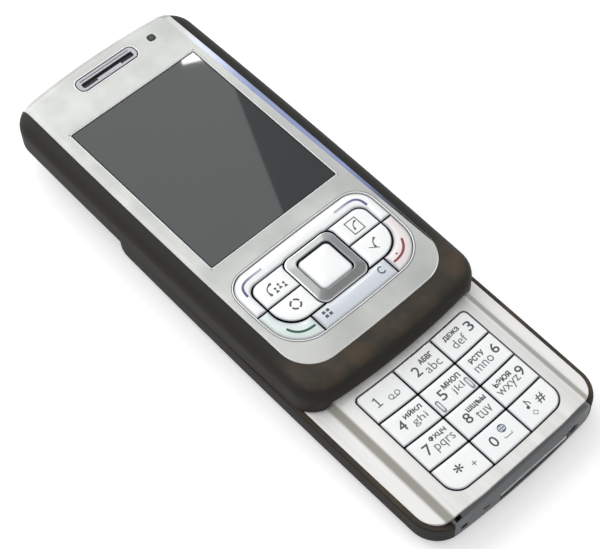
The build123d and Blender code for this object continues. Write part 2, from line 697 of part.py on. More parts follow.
def side_key(y):
    """Key in the right side: a pill face outside and a flange behind the wall."""
    root = SIDE_KEY_BACK + 0.5
    outline = RectangleRounded(SIDE_KEY_LENGTH, SIDE_KEY_HEIGHT, SIDE_KEY_R)
    pill = Plane.YZ * (Pos(y, SIDE_KEY_Z) * outline)
    face = Pos(root, 0, 0) * extrude(pill, amount=SIDE_KEY_FACE - root, dir=(1, 0, 0))
    face = fillet(face.faces().sort_by(Axis.X)[-1].edges(), 0.3)
    reach, tall = SIDE_KEY_LENGTH / 2 + 0.2, SIDE_KEY_HEIGHT / 2 + 0.3
    low, high = SIDE_KEY_Z - tall, SIDE_KEY_Z + tall
    return face + brick(SIDE_KEY_BACK, root + 0.2, y - reach, y + reach, low, high)


def power_key():
    """Key in the far end, with a flange behind the wall."""
    half, back, root = POWER_KEY_HALF, 32.6, 32.9
    pill = Plane.XZ * (Pos(0, SIDE_KEY_Z) * RectangleRounded(half * 2, SIDE_KEY_HEIGHT, SIDE_KEY_R))
    face = Pos(0, root, 0) * extrude(pill, amount=POWER_KEY_FACE - root, dir=(0, 1, 0))
    face = fillet(face.faces().sort_by(Axis.Y)[-1].edges(), 0.3)
    tall = SIDE_KEY_HEIGHT / 2 + 0.4
    return face + brick(-half - 0.5, half + 0.5, back, root + 0.4, SIDE_KEY_Z - tall, SIDE_KEY_Z + tall)


def screw_group(places, head_r, head_low, head_high, shank_r, tip):
    """Identical screws, each with a cross cut in its head."""
    screws = []
    long, narrow, deep = head_r * 0.6, 0.175, head_low + 0.25
    for x, y in places:
        screw = rod(x, y, head_r, head_low, head_high) + rod(x, y, shank_r, head_high - 0.1, tip)
        for reach, half in ((long, narrow), (narrow, long)):
            screw -= brick(x - reach, x + reach, y - half, y + half, 0, deep)
        screws.append(screw.solid())
    return Compound(children=screws)


# --------------------------------------------------------------- upper half


def upper_case():
    """Soft-coated moulding: chin, side walls and far end, open below and under the face plate."""
    case = hood(0, CASE_TOP) - tunnel(0, UPPER_END - 1, UPPER_END + CORNER_R)
    case -= hood(WALL, CASE_TOP - 1.8)
    skin = hood() - hood(SHEET, FACE_TOP - SHEET)
    case -= skin & prism(face_region(FIT), ROLL_LOW - FIT, FACE_TOP + 1)
    case -= prism(face_region(FIT) & plan(UPPER_MID, SHEET + 1), FACE_TOP - SHEET, FACE_TOP + 1)
    case -= tablet(-19.6, 19.6, -23.9, MODULE_Y[1] + 0.3, 13, 15, 1.5)
    case -= brick(-7.2, 7.2, 59.4, 66.2, 13, 15)
    case -= rod(*SENSOR, SENSOR_R + FIT, 13, 15)
    return case


def edge_bevel():
    """Everything above the bevel along the face's right edge, which narrows towards the chin."""
    far, near = [Vector(x, y, FACE_TOP) for x, y in BEVEL_LINE]
    line = (near - far).normalized()
    outward = Vector(0, 0, 1).cross(line)
    tilt = Plane(far, x_dir=line, z_dir=Vector(0, 0, 1) + outward * BEVEL_SLOPE)
    return tilt * Box(260, 6, 3, align=(Align.CENTER, Align.MIN, Align.MIN))


def face_plate():
    """Metal face: bevelled long edges, rolled far end, openings for screen, keys and earpiece."""
    plate = (hood() - hood(SHEET, FACE_TOP - SHEET)) & prism(face_region(), ROLL_LOW, FACE_TOP)
    edge_z = FACE_TOP - EDGE_BREAK
    broken = Pos(0, 0, edge_z) * extrude(face_region(), amount=EDGE_BREAK, dir=(0, 0, 1), taper=45)
    plate &= prism(face_region(), ROLL_LOW, edge_z) + broken
    bevel = edge_bevel()
    plate -= bevel
    plate -= mirror(bevel, Plane.YZ)
    half = WINDOW_HALF + FIT
    plate -= brick(-half, half, WINDOW_LOW - FIT, WINDOW_HIGH + FIT, 14, 17)
    plate -= prism(island(-KEY_GAP / 2), 14, 17)
    half = EAR_HALF + FIT
    plate -= tablet(-half, half, EAR_LOW - FIT, EAR_HIGH + FIT, 14, 17, EAR_R)
    plate -= rod(*SENSOR, SENSOR_R + FIT, 14, 17)
    return plate


def display_window():
    """Clear window with a flange under the plate."""
    half, lap = WINDOW_HALF, 1.1
    pane = brick(-half, half, WINDOW_LOW, WINDOW_HIGH, MODULE_TOP, FACE_TOP - 0.15)
    low, high = WINDOW_LOW - lap, WINDOW_HIGH + lap
    return pane + brick(-half - lap, half + lap, low, high, MODULE_TOP, FACE_TOP - SHEET)


def display_module():
    """Display glass in its metal frame."""
    module = tablet(-19.2, 19.2, *MODULE_Y, RAIL_TOP, MODULE_TOP, 0.8)
    return module - brick(-17.4, 17.4, 6.5, 52.2, MODULE_TOP - 0.15, MODULE_TOP + 1)


def earpiece_grille():
    """Bright rim round a dark stepped slot."""
    rim = tablet(-EAR_HALF, EAR_HALF, EAR_LOW, EAR_HIGH, FACE_TOP - SHEET, FACE_TOP + 0.05, EAR_R - FIT)
    rim = eased(rim, 0.2)
    floor, top = FACE_TOP - 0.5, FACE_TOP + 1
    slot = tablet(-EAR_SLOT_HALF, EAR_SLOT_HALF, *EAR_SLOT_Y, floor, top, 0.5)
    return rim - (slot - brick(*EAR_STEP, 61, 62.2, floor, top))


def earpiece():
    """Receiver capsule under the grille."""
    return tablet(-7.0, 7.0, 59.6, 66.0, RAIL_TOP, FACE_TOP - SHEET, 2.0)


def light_sensor():
    """Dark lens of the ambient light sensor."""
    return rod(*SENSOR, SENSOR_R, 13.4, FACE_TOP - 0.05)


def control_keys():
    """All keys of the island, cut from one outline so that the gaps run through."""
    gap = KEY_GAP / 2
    band = island() - inner_block(-gap)
    quick = inner_block(gap) - ring_outline(-gap)
    half = ISLAND_HALF + 1
    above = Pos(0, SPLIT_Y + gap + 10) * Rectangle(half * 2, 20)
    below = Pos(0, SPLIT_Y - gap - 10) * Rectangle(half * 2, 20)
    left, right = Pos(-gap - 20, 0) * Rectangle(40, 80), Pos(gap + 20, 0) * Rectangle(40, 80)
    call_side = Pos(BAR_LEFT - gap - 10, -20) * Rectangle(20, 60)
    end_side = Pos(BAR_RIGHT + gap + 10, -20) * Rectangle(20, 60)
    bar_wide = BAR_RIGHT - BAR_LEFT - KEY_GAP
    bar = Pos((BAR_LEFT + BAR_RIGHT) / 2, BLOCK_LOW - gap - 5) * Rectangle(bar_wide, 10)
    return {
        "soft_key_bar": (band & above) - ring_outline(-gap),
        "call_key": band & below & call_side,
        "end_key": band & below & end_side,
        "menu_clear_bar": (band & bar) - ring_outline(-gap),
        "quick_key_upper_left": quick & above & left,
        "quick_key_upper_right": quick & above & right,
        "quick_key_lower_left": quick & below & left,
        "quick_key_lower_right": quick & below & right,
    }


def navigation_ring():
    """Polished ring that tips four ways, on its carrier."""
    ring = prism(ring_outline() - select_outline(-KEY_GAP / 2), CONTROL_LOW + 0.1, RING_HIGH)
    outer = ring.faces().sort_by(Axis.Z)[-1].outer_wire()
    return chamfer(outer.edges(), 0.6)


def navigation_carrier():
    """Spring-steel frame under the ring, with the two bumps on which the ring tips."""
    low, high = CARRIER_Z
    frame = tablet(-6.2, 6.2, RING_LOW + 0.7, RING_TOP - 0.7, low, high, 1.5)
    frame -= tablet(-4.9, 4.9, SELECT_LOW - 0.4, SELECT_TOP + 0.4, low - 1, high + 1, 1.2)
    for y in (RING_LOW + 1.2, RING_TOP - 1.2):
        frame += brick(-0.3, 0.3, y - 0.4, y + 0.4, high - 0.03, CONTROL_LOW + 0.08)
    return frame


def select_key():
    """Square key inside the ring."""
    return eased(prism(select_outline(), CONTROL_LOW, CONTROL_TOP), 0.3)


def control_mat():
    """Silicone mat with a pad under each control key."""
    low, high = CONTROL_MAT_Z
    mat = tablet(-18.9, 18.9, -23.4, 0.5, low, high, 3.0)
    for x, y in CONTROL_PADS:
        mat += rod(x, y, 1.1, high - 0.05, CONTROL_LOW)
    return mat


def control_board():
    """Circuit board with a snap dome under each control key."""
    board = tablet(-18.8, 18.8, -24.6, 1.6, RAIL_TOP, CONTROL_BOARD_TOP, 1.5)
    for x, y in CONTROL_PADS:
        board += Pos(x, y, CONTROL_BOARD_TOP + 0.05) * Cone(1.7, 1.0, 0.3)
    return board


def upper_frame():
    """Moulded inner frame: carries boards and screen, and closes the sides below."""
    y_low, y_high = UPPER_END + WALL + 0.1, UPPER_FAR - WALL - 0.1
    floor, top = DECK_LOW + 0.3, RAIL_TOP
    frame = tunnel(SHEET, y_low, y_high) - tunnel(0, y_low - 1, y_high + 1)
    frame &= hood(WALL + 0.05, CASE_TOP - 1.9)
    frame += brick(-13.6, 13.6, -31.0, 66.0, floor, top)
    frame += brick(-18.6, 18.6, -31.0, 2.2, floor, top)
    edge = TUNNEL_FLAT_X - 0.05
    frame -= brick(-edge, edge, -40, 75, DECK_LOW - 1, SLIDE_PLATE_TOP)
    for side in (-1, 1):
        x = side * RAIL_X
        frame -= brick(x - RAIL_HALF, x + RAIL_HALF, RAIL_LOW_Y, RAIL_HIGH_Y, DECK_LOW, top + 1)
    frame -= flex_passage(FLEX_UPPER_Y, DECK_LOW, top + 1)
    for x, y in DECK_SCREWS:
        frame -= rod(x, y, DECK_SHANK_R, DECK_LOW, DECK_TIP)
    return frame


def slide_plate():
    """Steel underside of the upper half, with a slotted channel for each shoe and the spring pins."""
    plate = prism(plan(UPPER_MID, WALL + 0.2), DECK_LOW, SLIDE_PLATE_TOP)
    edge, low, high = TUNNEL_FLAT_X - 0.1, DECK_LOW - 1, RAIL_TOP
    plate &= brick(-edge, edge, UPPER_END, UPPER_FAR, low, high)
    y_low, y_high = SHOE_LOW_Y - 0.4, SHOE_HIGH_Y + TRAVEL + 0.4
    for side in (-1, 1):
        x = side * RAIL_X
        plate += brick(x - RAIL_HALF, x + RAIL_HALF, RAIL_LOW_Y, RAIL_HIGH_Y, DECK_LOW, RAIL_TOP)
        plate -= brick(x - CHANNEL_HALF, x + CHANNEL_HALF, y_low, y_high, SLIDE_PLATE_TOP, CHANNEL_TOP)
        plate -= brick(x - SLOT_HALF, x + SLOT_HALF, y_low, y_high, low, CHANNEL_TOP - 0.05)
        plate += rod(side * UPPER_PIN[0], UPPER_PIN[1], PIN_R, POCKET_FLOOR + 0.3, SLIDE_PLATE_TOP)
    plate -= flex_passage(FLEX_UPPER_Y, low, high)
    for x, y in DECK_SCREWS:
        plate -= rod(x, y, DECK_HEAD_R, low, high)
    return plate


def all_parts():
    """Every node of the phone by name."""
    parts = {
        "base_case": base_case(),
        "battery_cover": battery_cover(),
        "end_cap": end_cap(),
        "keypad_plate": keypad_plate(),
        "slide_bed": slide_bed(),
        "slide_carriage": slide_carriage(),
        "assist_springs": assist_springs(),
        "flex_cable": flex_cable(),
        "connector": connector(),
        "charging_socket": charging_socket(),
        "microphone": microphone(),
        "battery": battery(),
        "sim_holder": sim_holder(),
        "main_board": main_board(),
        "keypad_mat": keypad_mat(),
        "camera_module": camera_module(),
        "camera_window": camera_window(),
        "loudspeaker": loudspeaker(),
        "vibration_motor": vibration_motor(),
        "antenna": antenna(),
        "power_key": power_key(),
        "case_screws": screw_group(CASE_SCREWS, CASE_HEAD_R, 1.3, 2.4, CASE_SHANK_R, CASE_TIP),
        "upper_case": upper_case(),
        "face_plate": face_plate(),
        "display_window": display_window(),
        "display_module": display_module(),
        "earpiece_grille": earpiece_grille(),
        "earpiece": earpiece(),
        "light_sensor": light_sensor(),
        "navigation_ring": navigation_ring(),
        "navigation_carrier": navigation_carrier(),
        "select_key": select_key(),
        "control_mat": control_mat(),
        "control_board": control_board(),
        "upper_frame": upper_frame(),
        "slide_plate": slide_plate(),
        "deck_screws": screw_group(
            DECK_SCREWS, DECK_HEAD_R, DECK_LOW + 0.02, SLIDE_PLATE_TOP, DECK_SHANK_R, DECK_TIP
        ),
    }
    for name, outline in control_keys().items():
        parts[name] = bevelled(prism(outline, CONTROL_LOW, CONTROL_TOP), 0.15)
    for name, y in SIDE_KEY_Y.items():
        parts[name] = side_key(y)
    for row, names in enumerate(KEY_NAMES):
        for column, name in enumerate(names):
            parts["key_" + name] = digit_key(column, row)
    return parts


os.makedirs("parts", exist_ok=True)
for part_name, part in all_parts().items():
    export_step(part, os.path.join("parts", part_name + ".step"))
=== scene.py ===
import bmesh
import bpy
import numpy as np
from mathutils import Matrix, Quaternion, Vector
from mathutils.geometry import delaunay_2d_cdt


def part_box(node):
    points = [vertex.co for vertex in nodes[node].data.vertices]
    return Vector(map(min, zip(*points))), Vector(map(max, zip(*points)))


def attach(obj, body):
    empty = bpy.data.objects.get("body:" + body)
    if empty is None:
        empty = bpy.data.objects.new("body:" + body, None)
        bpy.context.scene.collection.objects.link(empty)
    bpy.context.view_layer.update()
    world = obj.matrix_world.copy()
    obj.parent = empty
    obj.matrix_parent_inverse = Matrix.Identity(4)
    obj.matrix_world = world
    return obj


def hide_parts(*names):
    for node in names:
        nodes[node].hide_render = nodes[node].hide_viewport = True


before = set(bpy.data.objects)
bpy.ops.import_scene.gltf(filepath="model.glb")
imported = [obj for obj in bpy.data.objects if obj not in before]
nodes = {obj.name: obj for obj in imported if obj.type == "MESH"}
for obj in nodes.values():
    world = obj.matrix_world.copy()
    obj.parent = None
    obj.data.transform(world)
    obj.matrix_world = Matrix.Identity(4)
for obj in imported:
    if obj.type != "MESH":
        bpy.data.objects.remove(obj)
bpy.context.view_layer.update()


# ---- Base bowl and battery cover -----------------------------------------------------------------
# Two mouldings in dark brown plastic, sprayed with a nearly matt soft-touch lacquer. The cover slides
# off the underside; the bowl holds the battery, the board and the connectors.


class Wire:
    """A shader socket that adds Math nodes when values are combined with it."""

    def __init__(self, finish, socket):
        self.finish, self.socket = finish, socket

    def math(self, operation, first, second):
        return self.finish.node("ShaderNodeMath", {"operation": operation}, {0: first, 1: second})

    def __add__(self, other):
        return self.math("ADD", self, other)

    def __mul__(self, other):
        return self.math("MULTIPLY", self, other)

    def __sub__(self, other):
        return self.math("SUBTRACT", self, other)

    def __rsub__(self, other):
        return self.math("SUBTRACT", other, self)

    def __abs__(self):
        return self.math("ABSOLUTE", self, 0)

    __radd__ = __add__
    __rmul__ = __mul__

    def between(self, low, high):
        """0 below low, 1 above high and a smooth rise between them."""
        sockets = {"Value": self, "From Min": low, "From Max": high}
        return self.finish.node("ShaderNodeMapRange", {"interpolation_type": "SMOOTHSTEP"}, sockets)


class Finish:
    """A named material on one Principled shader, whose patterns read Object coordinates."""

    def __init__(self, name, colour, roughness, fixed=None):
        self.material = bpy.data.materials.new(name)
        self.material.use_nodes = True
        self.tree = self.material.node_tree
        self.shader = self.tree.nodes["Principled BSDF"]
        self.shader.inputs["Base Color"].default_value = (*colour, 1)
        self.shader.inputs["Roughness"].default_value = roughness
        for socket, value in (fixed or {}).items():
            self.shader.inputs[socket].default_value = value
        self.place = self.node("ShaderNodeTexCoord", {}, {}, "Object")

    def node(self, kind, settings, sockets, output=0):
        """A node of that kind: its settings are set first, then its sockets get values or links."""
        made = self.tree.nodes.new(kind)
        for key, value in settings.items():
            setattr(made, key, value)
        for key, value in sockets.items():
            if isinstance(value, Wire):
                self.tree.links.new(value.socket, made.inputs[key])
            else:
                made.inputs[key].default_value = value
        return Wire(self, made.outputs[output])

    def feed(self, socket, wire):
        self.tree.links.new(wire.socket, self.shader.inputs[socket])

    def axis(self, letter):
        """One Object coordinate, in mm."""
        return self.node("ShaderNodeSeparateXYZ", {}, {0: self.place}, letter) * 1000

    def direction(self, kind="Normal"):
        """The surface's own direction: smoothed, or with "True Normal" that of its flat faces."""
        return self.node("ShaderNodeNewGeometry", {}, {}, kind)

    def facing(self, letter, kind="Normal"):
        """One part of the surface's own direction, from -1 to 1."""
        return self.node("ShaderNodeSeparateXYZ", {}, {0: self.direction(kind)}, letter)

    def measure(self, operation, first, second):
        """A number from two vectors: their distance in metres, or their dot product."""
        sockets = {0: first, 1: second}
        return self.node("ShaderNodeVectorMath", {"operation": operation}, sockets, "Value")

    def noise(self, scale, detail=2.0, stretch=(1, 1, 1)):
        """Fractal noise from 0 to 1, scale in cells per metre."""
        spread = self.node("ShaderNodeMapping", {}, {"Vector": self.place, "Scale": stretch})
        return self.node("ShaderNodeTexNoise", {}, {"Vector": spread, "Scale": scale, "Detail": detail})

    def blend(self, mask, low, high):
        """Colour that goes from low to high with the mask; either may be a wire."""
        low, high = ((*side, 1) if isinstance(side, tuple) else side for side in (low, high))
        return self.node("ShaderNodeMix", {"data_type": "RGBA"}, {"Factor": mask, 6: low, 7: high}, 2)

    def tint(self, mask, low, high):
        self.feed("Base Color", self.blend(mask, low, high))

    def grain(self, height, depth, **base):
        """Relief of that depth in metres, on the smoothed surface or on the Normal that is given."""
        sockets = {"Height": height, "Distance": depth, "Strength": 1.0, **base}
        self.feed("Normal", self.node("ShaderNodeBump", {}, sockets))

    def wear(self, *pieces):
        """Puts the finish on pieces, or on the frame's nodes of that name."""
        for piece in pieces:
            piece = nodes[piece] if isinstance(piece, str) else piece
            piece.data.materials.clear()
            piece.data.materials.append(self.material)


def smooth(*names, angle=32.0):
    """Shades the frame's nodes smoothly: welds their loose triangles and keeps the creases sharp."""
    for name in names:
        node = nodes[name]
        weld = node.modifiers.new("weld", "WELD")
        weld.merge_threshold = 2e-6
        node.data.polygons.foreach_set("use_smooth", np.ones(len(node.data.polygons), bool))
        split = node.modifiers.new("creases", "EDGE_SPLIT")
        split.split_angle = np.radians(angle)


SOFT_COATED = ("base_case", "battery_cover", "upper_case")
CHIN_FADE = (-28, -16)
soft_touch = Finish("soft_touch_brown", (0.04, 0.034, 0.024), 0.5, {"Specular IOR Level": 0.22})
mottle = soft_touch.noise(150, 5)
speck = soft_touch.noise(9000, 1)
# Upward faces get a lighter mottled tone as painted sheen and the walls a darker one as painted shade;
# beyond the chin the tops fade to dark, also painted shade.
upward = soft_touch.facing("Z").between(0.65, 0.98)
mottle_and_painted_top_light = soft_touch.blend(mottle.between(0.36, 0.68), (0.037, 0.034, 0.026), (0.068, 0.050, 0.033))
above_chin = soft_touch.axis("Y").between(*CHIN_FADE)
mottle_and_painted_top_light = soft_touch.blend(above_chin, mottle_and_painted_top_light, (0.020, 0.0195, 0.016))
walls = soft_touch.blend(mottle, (0.014, 0.0135, 0.0115), (0.022, 0.019, 0.014))
soft_touch.tint(upward, walls, mottle_and_painted_top_light)
soft_touch.feed("Roughness", 0.44 + mottle * 0.08 + speck * 0.1)
soft_touch.grain(speck, 3e-6)
soft_touch.wear(*SOFT_COATED)
smooth(*SOFT_COATED)


# ---- Bottom end ----------------------------------------------------------------------------------
# A cap in gunmetal lacquer closes the bowl. It is pierced for the data connector with its bright lip,
# the charging socket, the microphone's slit and the eyelet of a strap.

gunmetal = Finish("gunmetal_lacquer", (0.14, 0.146, 0.152), 0.32, {"Metallic": 0.45})
cast = gunmetal.noise(5000)
gunmetal.feed("Roughness", 0.27 + cast * 0.12)
gunmetal.grain(cast, 2e-6)
gunmetal.wear("end_cap")

LIP_LOW = (4.6, 4.85)
lip = Finish("brushed_lip", (0.90, 0.91, 0.92), 0.28, {"Metallic": 0.4})
brushed = lip.noise(900, 2, (1, 40, 40))
bright_lip = lip.blend(brushed, (0.82, 0.83, 0.84), (0.92, 0.93, 0.94))
# Above LIP_LOW the connector is painted near-black, as painted shade inside its opening; below it the
# lip is its own brushed metal.
lip.tint(lip.axis("Z").between(*LIP_LOW), bright_lip, (0.05, 0.052, 0.055))
lip.feed("Roughness", 0.2 + brushed * 0.18)
lip.wear("connector")

polished = Finish("polished_metal", (0.80, 0.81, 0.81), 0.12, {"Metallic": 1.0})
polished.feed("Roughness", 0.08 + polished.noise(2500) * 0.1)
polished.wear("charging_socket")
smooth("end_cap", "connector", "charging_socket")


# ---- Keypad plate --------------------------------------------------------------------------------
# Pressed plate round the digits, lacquered silver-white. A rounded shoulder and a flank fall to flat
# side strips that end at the brown rim; the flank is painted dark grey, as painted shade and a painted
# dark reflection.

SHOULDER, FLANK_FOOT = (18.55, 19.2), (20.1, 20.9)
pad_silver = Finish("pad_silver", (0.82, 0.82, 0.80), 0.3, {"Metallic": 0.2, "Coat Weight": 0.2})
drawn = pad_silver.noise(420, 3, (1, 0.03, 1))
outwards = abs(pad_silver.axis("X"))
# The flank between shoulder and foot is painted dark: painted shade and a painted dark reflection.
flank_shade = outwards.between(*SHOULDER) * (1 - outwards.between(*FLANK_FOOT))
lacquer = pad_silver.blend(drawn.between(0.3, 0.7), (0.78, 0.775, 0.75), (0.90, 0.90, 0.885))
pad_silver.tint(flank_shade, lacquer, (0.34, 0.33, 0.29))
pad_silver.feed("Roughness", 0.24 + drawn * 0.16)
pad_silver.wear("keypad_plate")
smooth("keypad_plate", angle=20)


# ---- Digit keys ----------------------------------------------------------------------------------
# Twelve keys in clear plastic over a pearl-white layer, with soft edges and a faint crown; their
# sloping edges are painted grey and their walls black, as painted shade. They stand on a black silicone
# mat, which darkens the gaps, and a black line of painted shadow runs round the plate's opening.

OUTLINE_STEP, CROWN_STEP, CROWN_CLEAR = 0.45, 0.42, 0.2
KEY_PARED = 0.02


def points_of(mesh):
    """All points of a mesh, in its own units."""
    points = np.empty(len(mesh.vertices) * 3)
    mesh.vertices.foreach_get("co", points)
    return points.reshape(-1, 3)


def loop_of(node):
    """The lowest outline of a node in mm, anticlockwise: the open edges of its lowest triangles."""
    mesh = nodes[node].data
    points = points_of(mesh) * 1000
    corners = np.empty(len(mesh.loops), int)
    mesh.loops.foreach_get("vertex_index", corners)
    spots, index = np.unique(np.round(points, 4), axis=0, return_inverse=True)
    triangles = index.ravel()[corners].reshape(-1, 3)
    lowest = triangles[(spots[triangles][:, :, 2] < spots[:, 2].min() + 1e-3).all(1)]
    edges = np.vstack([lowest[:, [0, 1]], lowest[:, [1, 2]], lowest[:, [2, 0]]]).tolist()
    inner = {(b, a) for a, b in edges}
    follow = {b: a for a, b in edges if (a, b) not in inner}
    order = [next(iter(follow))]
    while follow[order[-1]] != order[0]:
        order.append(follow[order[-1]])
    return spots[order, :2]


def dense(loop, step):
    """The same closed loop with its long edges divided into steps of that length at most."""
    side = np.roll(loop, -1, axis=0) - loop
    parts = np.ceil(np.linalg.norm(side, axis=1) / step).astype(int)
    share = np.concatenate([np.arange(count) / count for count in parts])[:, None]
    return np.repeat(loop, parts, axis=0) + np.repeat(side, parts, axis=0) * share


def reach_in(loop, points):
    """How far each point is from the loop, and whether it is inside: the loop's edges cross a line
    drawn to its right an odd number of times."""
    side = np.roll(loop, -1, axis=0) - loop
    offset = points[:, None] - loop
    along = np.clip((offset * side).sum(2) / (side**2).sum(1), 0, 1)
    distance = np.linalg.norm(offset - along[:, :, None] * side, axis=2).min(1)
    level, low, high = points[:, 1:], loop[:, 1], loop[:, 1] + side[:, 1]
    crosses = (low > level) != (high > level)
    rise = np.where(side[:, 1] == 0, 1, side[:, 1])
    meets = loop[:, 0] + side[:, 0] * (level - low) / rise
    inside = (crosses & (points[:, :1] < meets)).sum(1) % 2 == 1
    return distance, inside


def inset(loop, distance):
    """A closed loop moved inwards by a distance, each corner along the middle of its two normals. A
    corner that overshoots, so that it comes nearer than the distance, joins its nearest neighbour."""
    before, after = loop - np.roll(loop, 1, axis=0), np.roll(loop, -1, axis=0) - loop
    inward = [np.column_stack([-side[:, 1], side[:, 0]]) for side in (before, after)]
    first, second = (side / np.linalg.norm(side, axis=1)[:, None] for side in inward)
    middle = first + second
    moved = loop + distance * 2 * middle / (middle**2).sum(1)[:, None]
    kept = np.flatnonzero(reach_in(loop, moved)[0] > distance - 0.004)
    gap = np.abs(np.arange(len(loop))[:, None] - kept)
    return moved[kept[np.minimum(gap, len(loop) - gap).argmin(1)]]


def make_piece(name, points, faces, body, finish, crease=40):
    """A piece from points in mm, smooth except at creases, with its finish and riding on a body."""
    mesh = bpy.data.meshes.new(name)
    mesh.from_pydata((np.asarray(points) / 1000).tolist(), [], faces)
    solid = bmesh.new()
    solid.from_mesh(mesh)
    bmesh.ops.remove_doubles(solid, verts=solid.verts, dist=1e-7)
    solid.to_mesh(mesh)
    solid.free()
    mesh.polygons.foreach_set("use_smooth", np.ones(len(mesh.polygons), bool))
    mesh.set_sharp_from_angle(angle=np.radians(crease))
    piece = bpy.data.objects.new(name, mesh)
    bpy.context.scene.collection.objects.link(piece)
    finish.wear(piece)
    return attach(piece, body)


def carried(name, outer, inner, section, finish, body):
    """A ring whose closed section is carried round two matching outlines. A point of the section is
    (d, z): d mm in from the outer outline, or where d is negative, out from the inner one."""
    reach = inner - outer
    width = np.linalg.norm(reach, axis=1)[:, None]
    rows = []
    for depth, z in section:
        share = depth / width if depth >= 0 else 1 + depth / width
        rows.append(np.column_stack([outer + reach * share, np.full(len(outer), z)]))
    count, here = len(outer), np.arange(len(outer))
    there = (here + 1) % count
    starts = [(row * count, (row + 1) % len(rows) * count) for row in range(len(rows))]
    faces = [np.column_stack([here + a, there + a, there + b, here + b]) for a, b in starts]
    return make_piece(name, np.vstack(rows), np.vstack(faces).tolist(), body, finish, crease=14)


def opening(node, level, middle, reach, within=0.01):
    """Outline in mm of an opening in a face at that height: the node's points within a distance of
    it, in order round a middle and within a reach of that in X and Y."""
    points = np.unique(np.round(points_of(nodes[node].data) * 1000, 3), axis=0)
    offset = points[:, :2] - middle
    near = (abs(points[:, 2] - level) < within) & (abs(offset) < reach).all(1)
    order = np.argsort(np.arctan2(offset[near, 1], offset[near, 0]))
    return points[near, :2][order]


def pillow(node, high, edge, sink, spread, finish, loop=None, slot="white_keys", body=None):
    """A key in place of a node, drawn as a height over an outline: the node's own, pared a little, or
    another one. At d mm inside it the top is at z = high - sink * exp(-d / spread), less what an edge
    of that radius takes off; walls go down from d = 0. Returns the function that gives z there."""
    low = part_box(node)[0].z * 1000
    loop = inset(dense(loop_of(node), OUTLINE_STEP), KEY_PARED) if loop is None else loop

    def surface(points):
        depth = reach_in(loop, np.asarray(points)[:, :2])[0]
        missing = np.clip(edge - depth, 0, edge)
        return high - sink * np.exp(-depth / spread) - (edge - np.sqrt(edge**2 - missing**2))

    turns = np.radians(np.linspace(0, 90, 6))
    depths = edge * (1 - np.cos(turns))
    heights = high - sink * np.exp(-depths / spread) - edge * (1 - np.sin(turns))
    rings = [inset(loop, depth) for depth in depths]
    rows = [np.column_stack([loop, np.full(len(loop), low)])]
    rows += [np.column_stack([ring, np.full(len(ring), z)]) for ring, z in zip(rings, heights)]
    count, here = len(loop), np.arange(len(loop))
    there = (here + 1) % count
    band = np.column_stack([here, there, there + count, here + count])
    walls = np.vstack([band + count * row for row in range(len(rows) - 1)])
    left, right = loop.min(0), loop.max(0)
    lines = [np.arange(start, end, CROWN_STEP) for start, end in zip(left, right)]
    grid = np.stack(np.meshgrid(*lines), -1).reshape(-1, 2)
    depth, inside = reach_in(loop, grid)
    grid = grid[inside & (depth > edge + CROWN_CLEAR)]
    apart = np.linalg.norm(rings[-1] - np.roll(rings[-1], 1, axis=0), axis=1) > 1e-6
    numbers = np.concatenate([np.flatnonzero(apart), count + np.arange(len(grid))])
    flat = [Vector(point) for point in np.vstack([rings[-1], grid])[numbers]]
    made = delaunay_2d_cdt(flat, [], [list(range(apart.sum()))], 1, 1e-6)
    source = [int(numbers[group[0]]) + count * (len(rows) - 1) for group in made[3]]
    top = [[source[i] for i in face] for face in made[2]]
    crown = np.column_stack([grid, surface(grid)])
    faces = walls.tolist() + top + [list(range(count))[::-1]]
    piece = make_piece("shaped_" + node, np.vstack([*rows, crown]), faces, body or node, finish)
    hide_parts(node)
    return surface


DIGITS = [f"key_{name}" for name in (*range(1, 10), "star", 0, "hash")]
DIGIT_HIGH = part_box("key_1")[1].z * 1000

pearl = Finish("pearl_white", (0.80, 0.81, 0.82), 0.2, {"Coat Weight": 0.5, "Coat Roughness": 0.07})


def dress_pearl(finish, low, high, edge):
    """Pearl layer between two tones, with painted shade: greyer where the plastic slopes and black on
    the side walls.
    """
    shimmer, upright = finish.noise(140, 3), finish.facing("Z")
    # Sloping edges are painted grey and side walls black, as painted shade on the edges and in the
    # gaps.
    layer = finish.blend(upright.between(0.945, 0.995), edge, finish.blend(shimmer, low, high))
    finish.tint(upright.between(0.1, 0.35), (0.012, 0.012, 0.013), layer)
    finish.feed("Roughness", 0.15 + shimmer * 0.1)


dress_pearl(pearl, (0.90, 0.91, 0.92), (0.95, 0.955, 0.95), (0.60, 0.62, 0.64))
surfaces = {
    key: pillow(key, DIGIT_HIGH, edge=0.26, sink=0.1, spread=0.5, finish=pearl) for key in DIGITS
}

silicone = Finish("silicone_black", (0.012, 0.012, 0.013), 0.6)
silicone.feed("Roughness", 0.5 + silicone.noise(2000) * 0.15)
silicone.wear("keypad_mat", "control_mat")

# Black films that stand in for the shade in gaps and recesses: painted shadow.
shadow_line = Finish("painted_shadow_line", (0.012, 0.012, 0.013), 0.5, {"Specular IOR Level": 0.2})
shadow_line.feed("Roughness", 0.45 + shadow_line.noise(3000) * 0.1)
AT_INNER, EDGE_STEP = -0.001, 1.5


def dark_line(name, outer, inner, low, high, body="upper_half"):
    """A flat black ring of painted shadow between two matching outlines, from a low to a high level in
    mm.
    """
    section = [(0.0, low), (0.0, high), (AT_INNER, high), (AT_INNER, low)]
    carried(name, outer, inner, section, shadow_line, body)


# The black ring round the plate's opening is painted shadow in the gap.
pad_edge = dense(opening("keypad_plate", 10.18, (0, -51), (16.3, 15.6), 0.03), EDGE_STEP)
dark_line("keypad_shadow_line", inset(pad_edge, -0.15), pad_edge, 10.15, 10.215, "base")


